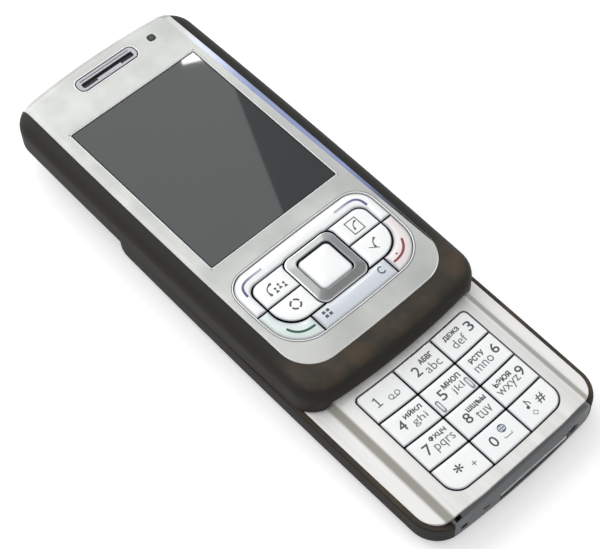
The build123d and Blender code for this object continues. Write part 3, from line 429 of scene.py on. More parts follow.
# ---- Legends of the digits -----------------------------------------------------------------------
# Printed in dark grey: a large digit beside its Cyrillic capitals and its Latin letters. Each is a
# film of ink that follows the crown of its key.

# The rows of digits follow y = ROW_CURVE * x ** 2, and their digits turn with them.
ROW_CURVE = 0.00207
INK_OVER, INK_UNDER = 0.015, 0.03
DOT_SIDES = 8


def printing(name, colour, smoothest=0.35):
    """An ink of that colour, whose roughness goes up by 0.1 in patches."""
    finish = Finish(name, colour, smoothest + 0.05)
    finish.feed("Roughness", smoothest + finish.noise(3000) * 0.1)
    return finish


ink = printing("legend_grey", (0.075, 0.08, 0.088))
pale_ink = printing("legend_pale_grey", (0.15, 0.155, 0.165))


def film(name, figure, key, finish):
    """A flat figure, its points in mm and its faces, laid on a key as a closed film of ink."""
    points, faces = figure
    points = np.asarray(points, float)
    count, level = len(points), surfaces[key](points)
    over = np.column_stack([points, level + INK_OVER])
    under = np.column_stack([points, level - INK_UNDER])
    edges = {(face[i - 1], face[i]) for face in faces for i in range(len(face))}
    walls = [[a + count, b + count, b, a] for a, b in edges if (b, a) not in edges]
    closed = [*faces, *([count + i for i in reversed(face)] for face in faces), *walls]
    return make_piece(name, np.vstack([over, under]), closed, key, finish)


def covered(points, spots, polygons):
    """Which points lie inside one of some convex polygons, whose corners go anticlockwise."""
    inside = np.zeros(len(points), bool)
    for polygon in polygons:
        corners = spots[polygon]
        side = np.roll(corners, -1, axis=0) - corners
        offset = points[:, None] - corners
        inside |= (side[:, 0] * offset[:, :, 1] - side[:, 1] * offset[:, :, 0] > 0).all(1)
    return inside


def circle(sides, start=0.0):
    """Points of a unit circle, anticlockwise from an angle in degrees."""
    swing = np.linspace(0, 2 * np.pi, sides, endpoint=False) + np.radians(start)
    return np.column_stack([np.cos(swing), np.sin(swing)])


def joined(figures, bold=0.0):
    """Figures made one, grown by a width all round: ribbons and dots are laid along their outlines,
    and of the triangles between all their corners those inside one of the parts are kept."""
    points, faces = [], []
    for spots, polygons in figures:
        spots = np.asarray(spots, float)
        faces += [[i + sum(map(len, points)) for i in polygon] for polygon in polygons]
        points.append(spots)
        edges = {(polygon[i - 1], polygon[i]) for polygon in polygons for i in range(len(polygon))}
        rim = np.array([(a, b) for a, b in edges if (b, a) not in edges])
        if not bold:
            continue
        start, end = spots[rim[:, 0]], spots[rim[:, 1]]
        side = np.column_stack([start[:, 1] - end[:, 1], end[:, 0] - start[:, 0]])
        side *= bold / np.linalg.norm(side, axis=1)[:, None]
        first, count = sum(map(len, points)), len(start)
        points.append(np.vstack([start - side, end - side, end + side, start + side]))
        faces += [[first + i + count * corner for corner in range(4)] for i in range(count)]
        unit = circle(DOT_SIDES) * bold
        first = sum(map(len, points))
        points.append((start[:, None] + unit).reshape(-1, 2))
        dots = first + np.arange(count * DOT_SIDES).reshape(-1, DOT_SIDES)
        faces += dots.tolist()
    points = np.vstack(points)
    made = delaunay_2d_cdt([Vector(point) for point in points], [], faces, 0, 1e-5)
    corners, triangles = np.array(made[0]), np.array(made[2])
    triangles = triangles[covered(corners[triangles].mean(1), points, faces)]
    used, index = np.unique(triangles, return_inverse=True)
    return corners[used], index.reshape(-1, 3).tolist()


def words(text, size, centre, turn=0.0, bold=0.0):
    """Text as a figure of a width and height in mm about a centre, turned by an angle."""
    curve = bpy.data.curves.new("words", "FONT")
    curve.body, curve.size, curve.resolution_u = text, 3.0, 3
    flat = bpy.data.objects.new("words", curve)
    bpy.context.scene.collection.objects.link(flat)
    bpy.context.view_layer.update()
    mesh = bpy.data.meshes.new_from_object(flat)
    bpy.data.objects.remove(flat)
    points = points_of(mesh)[:, :2]
    step = -1 if mesh.polygons[0].normal.z < 0 else 1
    faces = [list(polygon.vertices)[::step] for polygon in mesh.polygons if polygon.area > 1e-7]
    low, high = points.min(0), points.max(0)
    points = (points - (low + high) / 2) * (np.array(size) / (high - low))
    cos, sin = np.cos(turn), np.sin(turn)
    points = points @ np.array([[cos, sin], [-sin, cos]]) + centre
    return joined([(points, faces)], bold) if bold else (points, faces)


def stroke(path, widths):
    """A brush stroke: half its width to each side of a path, with round ends."""
    path, widths = np.asarray(path, float), np.broadcast_to(widths, len(path)).astype(float)
    along = np.gradient(path, axis=0)
    along /= np.linalg.norm(along, axis=1)[:, None]
    turn = np.linspace(0, np.pi / 2, 6)[:, None]
    tail = path[:1] - along[:1] * np.cos(turn) * widths[0] / 2
    head = path[-1:] + along[-1:] * np.sin(turn) * widths[-1] / 2
    middle = np.vstack([tail, path[1:-1], head])
    tail_along, head_along = (np.repeat(one, len(turn), 0) for one in (along[:1], along[-1:]))
    side = np.vstack([tail_along, along[1:-1], head_along])
    side = np.column_stack([-side[:, 1], side[:, 0]])
    ends = [widths[0] * np.sin(turn), widths[1:-1, None], widths[-1] * np.cos(turn)]
    half = np.vstack(ends) / 2 + 1e-3
    here = np.arange(len(middle) - 1)
    faces = np.column_stack([here, here + 1, here + 1 + len(middle), here + len(middle)])
    return np.vstack([middle - side * half, middle + side * half]), faces.tolist()


def hoop(centre, radius, width, sides=40):
    """A flat ring: two circles about a centre, half the width in and out of its radius."""
    unit, here = circle(sides), np.arange(sides)
    there = (here + 1) % sides
    points = np.vstack([unit * (radius - width / 2), unit * (radius + width / 2)]) + centre
    return points, np.column_stack([here, here + sides, there + sides, there]).tolist()


def dot(centre, radius, sides=28, start=0.0):
    """A filled circle, or with few sides a filled polygon that starts at an angle in degrees."""
    return circle(sides, start) * radius + centre, [list(range(sides))]


def curved(*controls, count=24):
    """The Bezier curve of its control points: neighbours are blended until one row is left."""
    t = np.linspace(0, 1, count)[:, None]
    rows = [np.array(control, float) * np.ones((count, 1)) for control in controls]
    while len(rows) > 1:
        rows = [first + (second - first) * t for first, second in zip(rows, rows[1:])]
    return rows[0]


def middle_of(node):
    """Middle of a node in plan, in mm."""
    low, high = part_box(node)
    return np.array([low.x + high.x, low.y + high.y]) * 500


# Capitals and their width in mm, then small letters and theirs.
LETTERS = {
    2: ("АБВГ", 3.55, "abc", 4.0),
    3: ("ДЕЖЗ", 4.4, "def", 3.75),
    4: ("ИЙКЛ", 4.5, "ghi", 3.7),
    5: ("МНОП", 4.7, "jkl", 2.9),
    6: ("РСТУ", 3.85, "mno", 5.0),
    7: ("ФХЦЧ", 4.25, "pqrs", 5.0),
    8: ("ШЩЪЫ", 5.0, "tuv", 3.7),
    9: ("ЬЭЮЯ", 4.6, "wxyz", 6.1),
}
# Middles of the legends in each column, from the middle of the key.
DIGIT_PLACE = ((-2.15, 0.3), (-1.9, 0.1), (3.08, 0.35))
CAPITAL_PLACE = ((1.65, 1.45), (1.67, 1.3), (-1.1, 1.4))
SMALL_PLACE = ((1.7, -1.0), (1.7, -1.0), (-1.0, -0.9))
DIGIT_SIZE = (1.6, 2.4)
CAPITAL_TALL, X_TALL, SMALL_TALL = 1.2, 1.5, 2.1
CAPITAL_BOLD, DIGIT_BOLD = 0.065, 0.03

for number in range(1, 10):
    key, column = f"key_{number}", (number - 1) % 3
    centre = middle_of(key)
    turn = np.arctan(2 * ROW_CURVE * centre[0])
    place = centre + DIGIT_PLACE[column]
    if number == 1:
        stem = stroke([place + (0.05, -1.05), place + (0.05, 0), place + (0.05, 1.1)], 0.3)
        flag = stroke([place + (0.05, 1.1), place + (-0.2, 0.92), place + (-0.5, 0.78)], 0.24)
        foot = stroke([place + (-0.55, -1.1), place + (0.05, -1.1), place + (0.65, -1.1)], 0.22)
        film("digit_1", joined([stem, flag, foot]), key, ink)
        continue
    film(f"digit_{number}", words(str(number), DIGIT_SIZE, place, turn, DIGIT_BOLD), key, ink)
    capitals, capitals_wide, small, small_wide = LETTERS[number]
    place, size = centre + CAPITAL_PLACE[column], (capitals_wide, CAPITAL_TALL)
    film(f"capitals_{number}", words(capitals, size, place, turn, CAPITAL_BOLD), key, ink)
    place, size = centre + SMALL_PLACE[column], (small_wide, X_TALL if small == "mno" else SMALL_TALL)
    film(f"small_{number}", words(small, size, place, turn), key, pale_ink)

spools = [hoop((x, -40.95), 0.52, 0.2) for x in (-9.75, -8.1)]
tape = stroke([(-9.75, -41.55), (-8.9, -41.55), (-8.1, -41.55)], 0.2)
film("message_sign", joined([*spools, tape]), "key_1", pale_ink)
film("sign_star", words("*", (1.9, 1.9), (-11.25, -61.5), 0, 0.05), "key_star", ink)
film("sign_plus", words("+", (1.2, 1.2), (-8.1, -62.8)), "key_star", pale_ink)
film("digit_0", words("0", DIGIT_SIZE, (-1.87, -62.17), 0, DIGIT_BOLD), "key_0", ink)
space_path = [(0.4, -62.9), (0.42, -63.25), (1.4, -63.27), (2.38, -63.25), (2.4, -62.9)]
film("sign_space", stroke(space_path, 0.18), "key_0", pale_ink)
net_blue = printing("net_sign_blue", (0.03, 0.075, 0.14))
globe = [hoop((1.4, -61.1), 0.85, 0.2), stroke([(0.6, -61.1), (1.4, -61.1), (2.2, -61.1)], 0.15)]
globe += [stroke([(1.4, -61.9), (1.4, -61.1), (1.4, -60.3)], 0.15)]
for x in (0.8, 2.0):
    globe.append(stroke(curved((1.4, -60.3), (x, -60.7), (x, -61.5), (1.4, -61.9)), 0.13))
film("sign_net", joined(globe), "key_0", net_blue)
film("sign_hash", words("#", (1.95, 2.1), (12.17, -61.6), 0, 0.03), "key_hash", ink)
note = [dot((8.72, -61.55), 0.38), stroke([(9.0, -61.6), (9.0, -60.7), (9.0, -59.8)], 0.22)]
note += [stroke(curved((9.0, -59.85), (9.3, -60.5), (9.95, -60.6), (9.7, -61.2)), 0.24)]
film("sign_note", joined(note), "key_hash", ink)
film("sign_shift", hoop((9.1, -63.3), 0.6, 0.2, 4), "key_hash", pale_ink)


def ridge(name, start, end, width, low, high, body, finish, count=9):
    """A raised bar from start to end: a half ellipse of that width and height carried along it. Its
    size falls towards both ends with sqrt(1 - t ** 6), where t goes from -1 to 1."""
    path = np.linspace(start, end, count)
    taper = np.sqrt(np.clip(1 - np.linspace(-1, 1, count) ** 6, 0, 1))[:, None]
    along = (np.array(end) - start) / np.linalg.norm(np.array(end) - start)
    across = np.array([-along[1], along[0]])
    swing = np.linspace(0, np.pi, count)
    half = width / 2 * (0.2 + 0.8 * taper)[:, None]
    flat = path[:, None] + np.cos(swing)[None, :, None] * across * half
    height = low + (high - low) * np.sin(swing) * (0.1 + 0.9 * taper)
    points = np.concatenate([flat, height[:, :, None]], axis=2).reshape(-1, 3)
    rows = np.arange(count**2).reshape(count, count)
    corners = [rows[:-1, :-1], rows[:-1, 1:], rows[1:, 1:], rows[1:, :-1]]
    faces = np.column_stack([corner.ravel() for corner in corners]).tolist()
    faces += [rows[:, -1].tolist() + rows[::-1, 0].tolist()]
    faces += [rows[0, ::-1].tolist(), rows[-1].tolist()]
    return make_piece(name, points, faces, body, finish)


BAR_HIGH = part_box("key_5")[1].z * 1000
BAR_LEVELS, BAR_WIDE = (DIGIT_HIGH - 0.08, BAR_HIGH), 0.72
for side, x in (("left", -4.0), ("right", 4.2)):
    line = stroke(np.linspace((x, -50.45), (x, -48.35), 5), 1.0)
    film(f"guide_line_{side}", line, "key_5", pale_ink)
    bar = ridge(f"guide_bar_{side}", (x, -50.75), (x, -48.05), BAR_WIDE, *BAR_LEVELS, "key_5", pearl)


# ---- Side keys -----------------------------------------------------------------------------------
# Volume and voice keys in the right side and the power key in the far end, in dark satin lacquer. Each
# has a flange that holds it behind the wall.

SIDE_KEYS = ("volume_up_key", "voice_key", "volume_down_key", "power_key")
key_satin = Finish("side_key_satin", (0.05, 0.047, 0.042), 0.35, {"Metallic": 0.3})
key_satin.feed("Roughness", 0.3 + key_satin.noise(4000) * 0.12)
key_satin.wear(*SIDE_KEYS)
smooth(*SIDE_KEYS)


# ---- Camera window -------------------------------------------------------------------------------
# A bright turned ring with fine grooves round a dark, flat lens cover. It is set flush in the back
# beside the loudspeaker's slots.

METAL_FROM, GROOVES = (2.55, 2.65), 60
lens_low, lens_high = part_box("camera_window")
lens_middle = ((lens_low.x + lens_high.x) / 2, (lens_low.y + lens_high.y) / 2, 0)
lens_ring = Finish("lens_ring", (0.75, 0.76, 0.76), 0.15, {"Metallic": 1.0})
sockets = {0: lens_ring.place, 1: (1, 1, 0)}
flat_place = lens_ring.node("ShaderNodeVectorMath", {"operation": "MULTIPLY"}, sockets)
from_lens = lens_ring.measure("DISTANCE", flat_place, lens_middle) * 1000
turning = lens_ring.node("ShaderNodeMath", {"operation": "SINE"}, {0: from_lens * GROOVES})
metal_part = from_lens.between(*METAL_FROM)
lens_ring.tint(metal_part, (0.01, 0.011, 0.014), (0.75, 0.76, 0.76))
lens_ring.feed("Metallic", metal_part)
lens_ring.feed("Roughness", 0.06 + metal_part * (0.12 + turning * 0.04))
lens_ring.wear("camera_window")
smooth("camera_window")


# ---- Slide works ---------------------------------------------------------------------------------
# Rolled steel carriage and slide plate, two flat springs, and the black bed that holds them. The
# ribbon between the halves is amber film.

steel = Finish("sheet_steel", (0.50, 0.50, 0.49), 0.3, {"Metallic": 1.0})
rolled = steel.noise(700, 2, (30, 1, 1))
steel.tint(rolled, (0.46, 0.46, 0.45), (0.54, 0.54, 0.53))
steel.feed("Roughness", 0.24 + rolled * 0.2)
STEEL = ("slide_plate", "slide_carriage", "assist_springs", "case_screws", "deck_screws")
steel.wear(*STEEL, "vibration_motor", "navigation_carrier")
smooth(*STEEL, "vibration_motor")

black = Finish("black_moulding", (0.014, 0.014, 0.015), 0.5)
pores = black.noise(6000, 2)
black.feed("Roughness", 0.42 + pores * 0.18)
black.grain(pores, 5e-6)
BLACK = ("slide_bed", "upper_frame", "antenna", "sim_holder", "earpiece", "loudspeaker", "microphone")
black.wear(*BLACK, "camera_module")
smooth(*BLACK, "camera_module")

amber = Finish("amber_film", (0.45, 0.19, 0.035), 0.3)
amber.feed("Roughness", 0.25 + amber.noise(1500) * 0.15)
amber.wear("flex_cable")


# ---- Boards and battery --------------------------------------------------------------------------
# Green boards with tracks under the lacquer and a snap dome under each key, and a flat battery wrapped
# in foil, which lies in the bay that the back cover closes.

board = Finish("board_green", (0.02, 0.09, 0.045), 0.35)
sockets = {"Vector": board.place, "Scale": 700}
tracks = board.node("ShaderNodeTexVoronoi", {"feature": "DISTANCE_TO_EDGE"}, sockets, "Distance")
board.tint(tracks.between(0.02, 0.08), (0.05, 0.16, 0.08), (0.015, 0.075, 0.035))
board.wear("main_board", "control_board")

foil = Finish("battery_foil", (0.36, 0.37, 0.38), 0.35, {"Metallic": 0.6})
foil.feed("Roughness", 0.3 + foil.noise(1200) * 0.15)
foil.wear("battery")


# ---- Metal face ----------------------------------------------------------------------------------
# Pressed aluminium in satin silver, which rolls over the far end. Its long edges are bevelled and
# polished brighter than the flat; its steep parts, such as the small break round its outline, are
# painted near-white as a highlight.

satin_face = Finish("satin_silver", (0.56, 0.57, 0.545), 0.4, {"Metallic": 0.5})
cloud = satin_face.noise(80, 3)
flake = satin_face.noise(14000, 1)
bevel = satin_face.facing("X", "True Normal").between(0.06, 0.12)
level = satin_face.facing("Z", "True Normal").between(0.975, 0.98)
level = level * (1 - abs(satin_face.facing("Y", "True Normal")).between(0.01, 0.02))
# Steep parts are painted near-white and less metallic: a painted highlight.
break_highlight = 1 - satin_face.facing("Z").between(0.72, 0.93)
sheet_tone = satin_face.blend(cloud.between(0.3, 0.7), (0.45, 0.46, 0.44), (0.58, 0.59, 0.565))
satin_face.tint(break_highlight, sheet_tone, (0.88, 0.89, 0.88))
satin_face.feed("Metallic", 0.5 + bevel * 0.5 - break_highlight * 0.4)
satin_face.feed("Roughness", (0.35 + flake * 0.1) * (1 - bevel * 0.8))
sockets = {"Factor": level, 4: satin_face.direction(), 5: satin_face.direction("True Normal")}
crisp = satin_face.node("ShaderNodeMix", {"data_type": "VECTOR"}, sockets, 1)
satin_face.grain(flake, 1e-6, Normal=crisp)
satin_face.wear("face_plate")
smooth("face_plate", angle=20)


# ---- Screen --------------------------------------------------------------------------------------
# A clear window, held by a flange under the metal face. The display below it is off and shows as an
# even dark grey, and a band inside its edge is painted near-black as shade. A bright bead and a black
# line of painted shadow run round it, and a second pair round the control keys.


def round_rectangle(x_span, y_span, radius, steps=10):
    """Outline of a rectangle, anticlockwise: four quarter circles and four divided sides."""
    swing = np.radians(np.linspace(0, 90, steps))
    arc = radius * np.column_stack([np.cos(swing), np.sin(swing)])
    turns = [arc, arc[::-1] * (-1, 1), -arc, arc[::-1] * (1, -1)]
    (left, right), (low, high) = x_span, y_span
    middles = [(right, high), (left, high), (left, low), (right, low)]
    inwards = [(-1, -1), (1, -1), (1, 1), (-1, 1)]
    parts = [turn + np.add(middle, np.multiply(inward, radius))
             for turn, middle, inward in zip(turns, middles, inwards)]
    share = np.linspace(0.08, 0.92, 12)[:, None]
    sides = [first[-1] + (second[0] - first[-1]) * share
             for first, second in zip(parts, parts[1:] + parts[:1])]
    return np.vstack([part for pair in zip(parts, sides) for part in pair])


def grown(x_span, y_span, distance, radius):
    """Outline of a rectangle that is moved out by a distance and then rounded by a radius."""
    outwards = np.array((-distance, distance))
    return round_rectangle(x_span + outwards, y_span + outwards, radius)


WINDOW_HALF = 18.2
WINDOW_Y = (4.8, 53.66)
WINDOW_MIDDLE, WINDOW_REACH = sum(WINDOW_Y) / 2, (WINDOW_Y[1] - WINDOW_Y[0]) / 2
LIP_OVER, LIP_WIDE, LINE_WIDE = 0.02, 0.26, 0.28
SHADOW_BAND_WIDE, SHADOW_BAND_FADE = 0.3, 0.1
window = Finish("window_over_display", (0.05, 0.055, 0.056), 0.05, {"Specular IOR Level": 0.42})
# A band inside the window's edge is painted near-black: painted shade of the recess.
side_reach = WINDOW_HALF - LIP_WIDE - SHADOW_BAND_WIDE
side_border = abs(window.axis("X")).between(side_reach, side_reach + SHADOW_BAND_FADE)
end_reach = WINDOW_REACH - LIP_WIDE - SHADOW_BAND_WIDE
from_middle = abs(window.axis("Y") - WINDOW_MIDDLE)
end_border = from_middle.between(end_reach, end_reach + SHADOW_BAND_FADE)
border = window.node("ShaderNodeMath", {"operation": "MAXIMUM"}, {0: side_border, 1: end_border})
screen = window.blend(window.noise(18, 2), (0.030, 0.034, 0.036), (0.046, 0.050, 0.050))
window.tint(border, screen, (0.012, 0.013, 0.014))
window.feed("Roughness", 0.012 + window.noise(300) * 0.02)
window.wear("display_window", "display_module")

quarter = np.radians(np.linspace(0, 90, 9))
bead = Finish("rolled_bead", (0.80, 0.81, 0.81), 0.3, {"Metallic": 0.3})
bead.feed("Roughness", 0.26 + bead.noise(2500) * 0.1)


def rolled_lip(name, outer, inner, half, rise, level, outer_foot, inner_foot):
    """A bright bead between two matching outlines. Its section is two quarter ellipses, which rise
    from a level at each outline and are half wide and rise high, on walls down to two feet."""
    across, up = half * (1 - np.cos(quarter)), level + rise * np.sin(quarter)
    section = [(0.0, outer_foot), *zip(across, up)]
    section += [*zip(-across[::-1], up[::-1]), (AT_INNER, inner_foot)]
    carried(name, outer, inner, section, bead, "upper_half")


GLASS_HIGH, FACE_HIGH = 15.35, 15.5
span_x, span_y = np.array((-WINDOW_HALF, WINDOW_HALF)), np.array(WINDOW_Y)
outer = grown(span_x, span_y, LIP_OVER, 0.6)
inner = grown(span_x, span_y, -LIP_WIDE, 0.35)
rolled_lip("window_lip", outer, inner, 0.14, 0.12, GLASS_HIGH, 15.33, 15.33)
line_edge = grown(span_x, span_y, -LIP_WIDE - LINE_WIDE, 0.2)
# A black line of painted shadow inside the window's lip.
dark_line("window_shadow_line", inner, line_edge, GLASS_HIGH - 0.01, GLASS_HIGH + 0.01)

island_edge = dense(opening("face_plate", FACE_HIGH, (0, -11.3), (19.7, 12.2)), EDGE_STEP)
lip_edge, line_edge = inset(island_edge, -0.3), inset(island_edge, -0.42)
rolled_lip("island_lip", lip_edge, island_edge, 0.15, 0.1, 15.49, 15.49, 15.3)
# A black line of painted shadow round the island's bead.
dark_line("island_shadow_line", line_edge, lip_edge, FACE_HIGH, FACE_HIGH + 0.015)


# ---- Earpiece and light sensor -------------------------------------------------------------------
# A grey metal rim, set in the metal face, with a fine groove beside its dark stepped slot; the groove
# is only a painted dark line of shade. A black line of painted shadow and a bright bead run round it,
# and the light sensor has a small dark lens beside it.

SLOT_FLOOR, GROOVE_Y = (15.05, 15.2), 63.9
rim_metal = Finish("earpiece_rim", (0.31, 0.31, 0.335), 0.3, {"Metallic": 0.5})
slot_floor = rim_metal.axis("Z").between(*SLOT_FLOOR)
# The groove is painted as a dark line: painted shade, with no groove in the shape.
groove_shade = 1 - abs(rim_metal.axis("Y") - GROOVE_Y).between(0.08, 0.16)
groove_shade = groove_shade * (1 - abs(rim_metal.axis("X")).between(6.9, 7.1))
rim_tone = rim_metal.blend(rim_metal.noise(1800), (0.27, 0.27, 0.295), (0.35, 0.35, 0.375))
rim_tone = rim_metal.blend(groove_shade, rim_tone, (0.03, 0.03, 0.033))
rim_metal.tint(slot_floor, (0.006, 0.006, 0.007), rim_tone)
rim_metal.feed("Metallic", slot_floor * 0.5)
rim_metal.feed("Roughness", 0.5 - slot_floor * 0.25)
rim_metal.wear("earpiece_grille")
smooth("earpiece_grille")

ear_low, ear_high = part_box("earpiece_grille")
ear_x, ear_y = (np.array((ear_low[i], ear_high[i])) * 1000 for i in (0, 1))
EAR_ROUND, LINE_IN, LINE_OUT, BEAD_OUT = 1.5, -0.12, 0.18, 0.46
inner, outer, border = (
    grown(ear_x, ear_y, reach, EAR_ROUND + reach) for reach in (LINE_IN, LINE_OUT, BEAD_OUT)
)
# A black line of painted shadow round the earpiece rim.
dark_line("earpiece_shadow_line", outer, inner, 15.49, 15.51)
rolled_lip("earpiece_lip", border, outer, 0.14, 0.06, 15.49, 15.49, 15.49)

dark_lens = Finish("sensor_lens", (0.03, 0.034, 0.036), 0.3, {"Specular IOR Level": 0.3})
LENS_CENTRE = (0.0134, 0.0631, 0.0155)
from_centre = dark_lens.measure("DISTANCE", dark_lens.place, LENS_CENTRE) * 1000
dark_lens.tint(from_centre.between(0.3, 0.75), (0.06, 0.066, 0.068), (0.008, 0.009, 0.009))
dark_lens.feed("Roughness", 0.28 + dark_lens.noise(2000) * 0.05)
sensor_low, sensor_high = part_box("light_sensor")
sensor_x, sensor_y = (np.array((sensor_low[i], sensor_high[i])) * 1000 for i in (0, 1))
lens_outline = round_rectangle(sensor_x, sensor_y, 0.5, 8)
SENSOR_HIGH = 15.54
ride = {"loop": lens_outline, "slot": "window", "body": "upper_half"}
pillow("light_sensor", SENSOR_HIGH, edge=0.12, sink=0.02, spread=0.3, finish=dark_lens, **ride)


# ---- Control keys --------------------------------------------------------------------------------
# The same pearl keys round the ring: a horseshoe key, call and end keys, a bar with two functions and
# four quick keys. The outer ones are strongly domed.

CONTROL_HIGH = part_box("call_key")[1].z * 1000
DOMED = {"edge": 0.28, "sink": 0.26, "spread": 0.8}
for place in ("upper_left", "upper_right", "lower_left", "lower_right"):
    key = f"quick_key_{place}"
    surfaces[key] = pillow(key, CONTROL_HIGH, edge=0.25, sink=0.12, spread=0.7, finish=pearl)
surfaces["soft_key_bar"] = pillow("soft_key_bar", CONTROL_HIGH, **DOMED, finish=pearl)
SHADES = {
    "call_key": ((0.66, 0.75, 0.72), (0.74, 0.82, 0.795)),
    "end_key": ((0.77, 0.71, 0.70), (0.84, 0.78, 0.77)),
    "menu_clear_bar": ((0.60, 0.64, 0.70), (0.66, 0.70, 0.755)),
}
for key, (low, high) in SHADES.items():
    shade = Finish("pearl_" + key, low, 0.2, {"Coat Weight": 0.5, "Coat Roughness": 0.07})
    dress_pearl(shade, low, high, (0.45, 0.47, 0.50))
    surfaces[key] = pillow(key, CONTROL_HIGH, **DOMED, finish=shade)


# ---- Marks of the control keys -------------------------------------------------------------------
# Printed strokes in colour on the soft keys, the call key and the end key, and small generic signs on
# the others. Each is a film of ink, as on the digits.

MARK_WIDE = 0.56
soft_mark = printing("soft_key_mark", (0.12, 0.12, 0.25), 0.3)
from_middle = abs(soft_mark.axis("X")).between(11.0, 17.0)
soft_mark.tint(from_middle, (0.42, 0.46, 0.52), (0.11, 0.10, 0.25))
for side, name in ((-1, "left"), (1, "right")):
    path = curved((side * 17.05, -5.3), (side * 16.9, -1.7), (side * 14.8, -2.3), (side * 10.7, -2.2))
    film(f"soft_mark_{name}", stroke(path, MARK_WIDE), "soft_key_bar", soft_mark)

call_green = printing("call_green", (0.012, 0.10, 0.06), 0.3)
path = curved((-16.4, -17.0), (-15.6, -19.4), (-13.6, -20.1), (-11.6, -20.05))
film("call_mark", stroke(path, MARK_WIDE), "call_key", call_green)

end_red = printing("end_red", (0.26, 0.05, 0.06), 0.3)
path = curved((11.3, -20.05), (13.6, -20.1), (15.4, -19.2), (16.3, -17.0))
film("end_mark", stroke(path, MARK_WIDE), "end_key", end_red)
film("end_dot", dot((12.95, -18.9), 0.25), "end_key", end_red)

film("clear_sign", words("C", (1.3, 1.95), (7.6, -19.7), 0, 0.05), "menu_clear_bar", ink)
for row, y in (("low", -20.25), ("high", -19.15)):
    for column, x in (("left", -8.25), ("right", -7.15)):
        film(f"menu_sign_{row}_{column}", dot((x, y), 0.52, 4, 45), "menu_clear_bar", ink)


def receiver(start, end, bow, size):
    """A telephone receiver: a bowed line whose stroke is thickest at its two ends."""
    start, end = np.array(start), np.array(end)
    side = np.array([start[1] - end[1], end[0] - start[0]]) / np.linalg.norm(end - start)
    path = curved(start, (start + end) / 2 + side * bow * 2, end, count=17)
    ends = np.abs(np.linspace(-1, 1, 17)) ** 4
    return stroke(path, size * (0.4 + 0.6 * ends))


key = "quick_key_upper_left"
film("conference_receiver", receiver((-11.75, -6.35), (-13.2, -8.6), -0.75, 0.68), key, ink)
for index, (x, y) in enumerate([(-11.65, -7.9), (-10.5, -7.5), (-9.35, -7.9)]):
    film(f"person_head_{index}", dot((x, y), 0.29), key, ink)
    film(f"person_body_{index}", dot((x, y - 0.88), 0.55, 3, 90), key, ink)
key = "quick_key_upper_right"
film("speaker_receiver", receiver((12.15, -6.75), (10.9, -8.35), -0.35, 0.55), key, ink)
box_x, box_y = (9.95, 12.8), (-9.45, -5.9)
frame_sides = [stroke(np.linspace((x, box_y[0]), (x, box_y[1]), 5), 0.24) for x in box_x]
frame_sides += [stroke(np.linspace((box_x[0], y), (box_x[1], y), 5), 0.24) for y in box_y]
film("speaker_box", joined(frame_sides), key, ink)
for index in range(4):
    swing = np.radians(np.linspace(-26, 26, 9) + 45 + 90 * index)
    path = np.column_stack([-11.0 + 1.15 * np.cos(swing), -13.65 + 1.15 * np.sin(swing)])
    film(f"wheel_sign_{index}", stroke(path, 0.45), "quick_key_lower_left", ink)
key = "quick_key_lower_right"
film("divert_receiver", receiver((12.15, -12.75), (10.95, -14.6), -0.35, 0.6), key, ink)
film("divert_line", stroke(np.linspace((9.7, -13.9), (11.5, -15.3), 5), 0.2), key, ink)


# ---- Navigation ring and select key --------------------------------------------------------------
# A cast ring, chromed on its rounded shoulder and brushed on its face, which falls outwards, with its
# wall painted near-black as shade in the gap round it. It tips four ways round a pearl key.

RING_LOW, RING_HIGH = (corner.z * 1000 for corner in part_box("navigation_ring"))
outer = round_rectangle((-6.85, 6.85), (-17.85, -3.95), 2.2)
inner = round_rectangle((-4.68, 4.68), (-15.48, -6.02), 1.4)
SHOULDER_LOW, FACE_LOW, LIP_ROUND = RING_HIGH - 0.9, RING_HIGH - 0.42, 0.2
section = [(0.0, RING_LOW), (0.0, SHOULDER_LOW)]
section += zip(0.42 * (1 - np.cos(quarter)), SHOULDER_LOW + 0.46 * np.sin(quarter))
section += [(0.5, FACE_LOW), (-0.3, RING_HIGH - 0.02)]
fall = quarter[::-1]
lip_z = RING_HIGH - LIP_ROUND + LIP_ROUND * np.sin(fall)
section += zip(-0.02 - LIP_ROUND * (1 - np.cos(fall)), lip_z)
section += [(AT_INNER, RING_LOW)]
brushed_ring = Finish("brushed_ring", (0.46, 0.47, 0.47), 0.28, {"Metallic": 0.9})
height = brushed_ring.axis("Z")
chrome_band = 1 - height.between(FACE_LOW - 0.03, FACE_LOW)
# The wall below the shoulder is painted near-black: painted shade in the gap round the ring.
ring_wall_shade = 1 - height.between(SHOULDER_LOW + 0.06, SHOULDER_LOW + 0.24)
hairline = brushed_ring.noise(2200, 2, (1, 12, 1))
ring_tone = brushed_ring.blend(hairline, (0.33, 0.34, 0.34), (0.43, 0.44, 0.44))
shoulder_tone = brushed_ring.blend(chrome_band, ring_tone, (0.80, 0.81, 0.82))
brushed_ring.tint(ring_wall_shade, shoulder_tone, (0.02, 0.02, 0.022))
brushed_ring.feed("Roughness", 0.26 + hairline * 0.12 - chrome_band * 0.16)
ring = carried("shaped_ring", outer, inner, section, brushed_ring, "navigation_ring")
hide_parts("navigation_ring")
SELECT_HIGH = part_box("select_key")[1].z * 1000
select_edge = inset(dense(loop_of("select_key"), OUTLINE_STEP), 0.1)
form = {"edge": 0.35, "sink": 0.22, "spread": 0.9}
pillow("select_key", SELECT_HIGH, **form, finish=pearl, loop=select_edge)


# ---- Studio --------------------------------------------------------------------------------------
# Pale floor, a large window light at the back, a cool panel and a small spot to its right, and an even
# sky. Where it is mirrored, the sky is darker overhead, with a dark card and a small pale one.

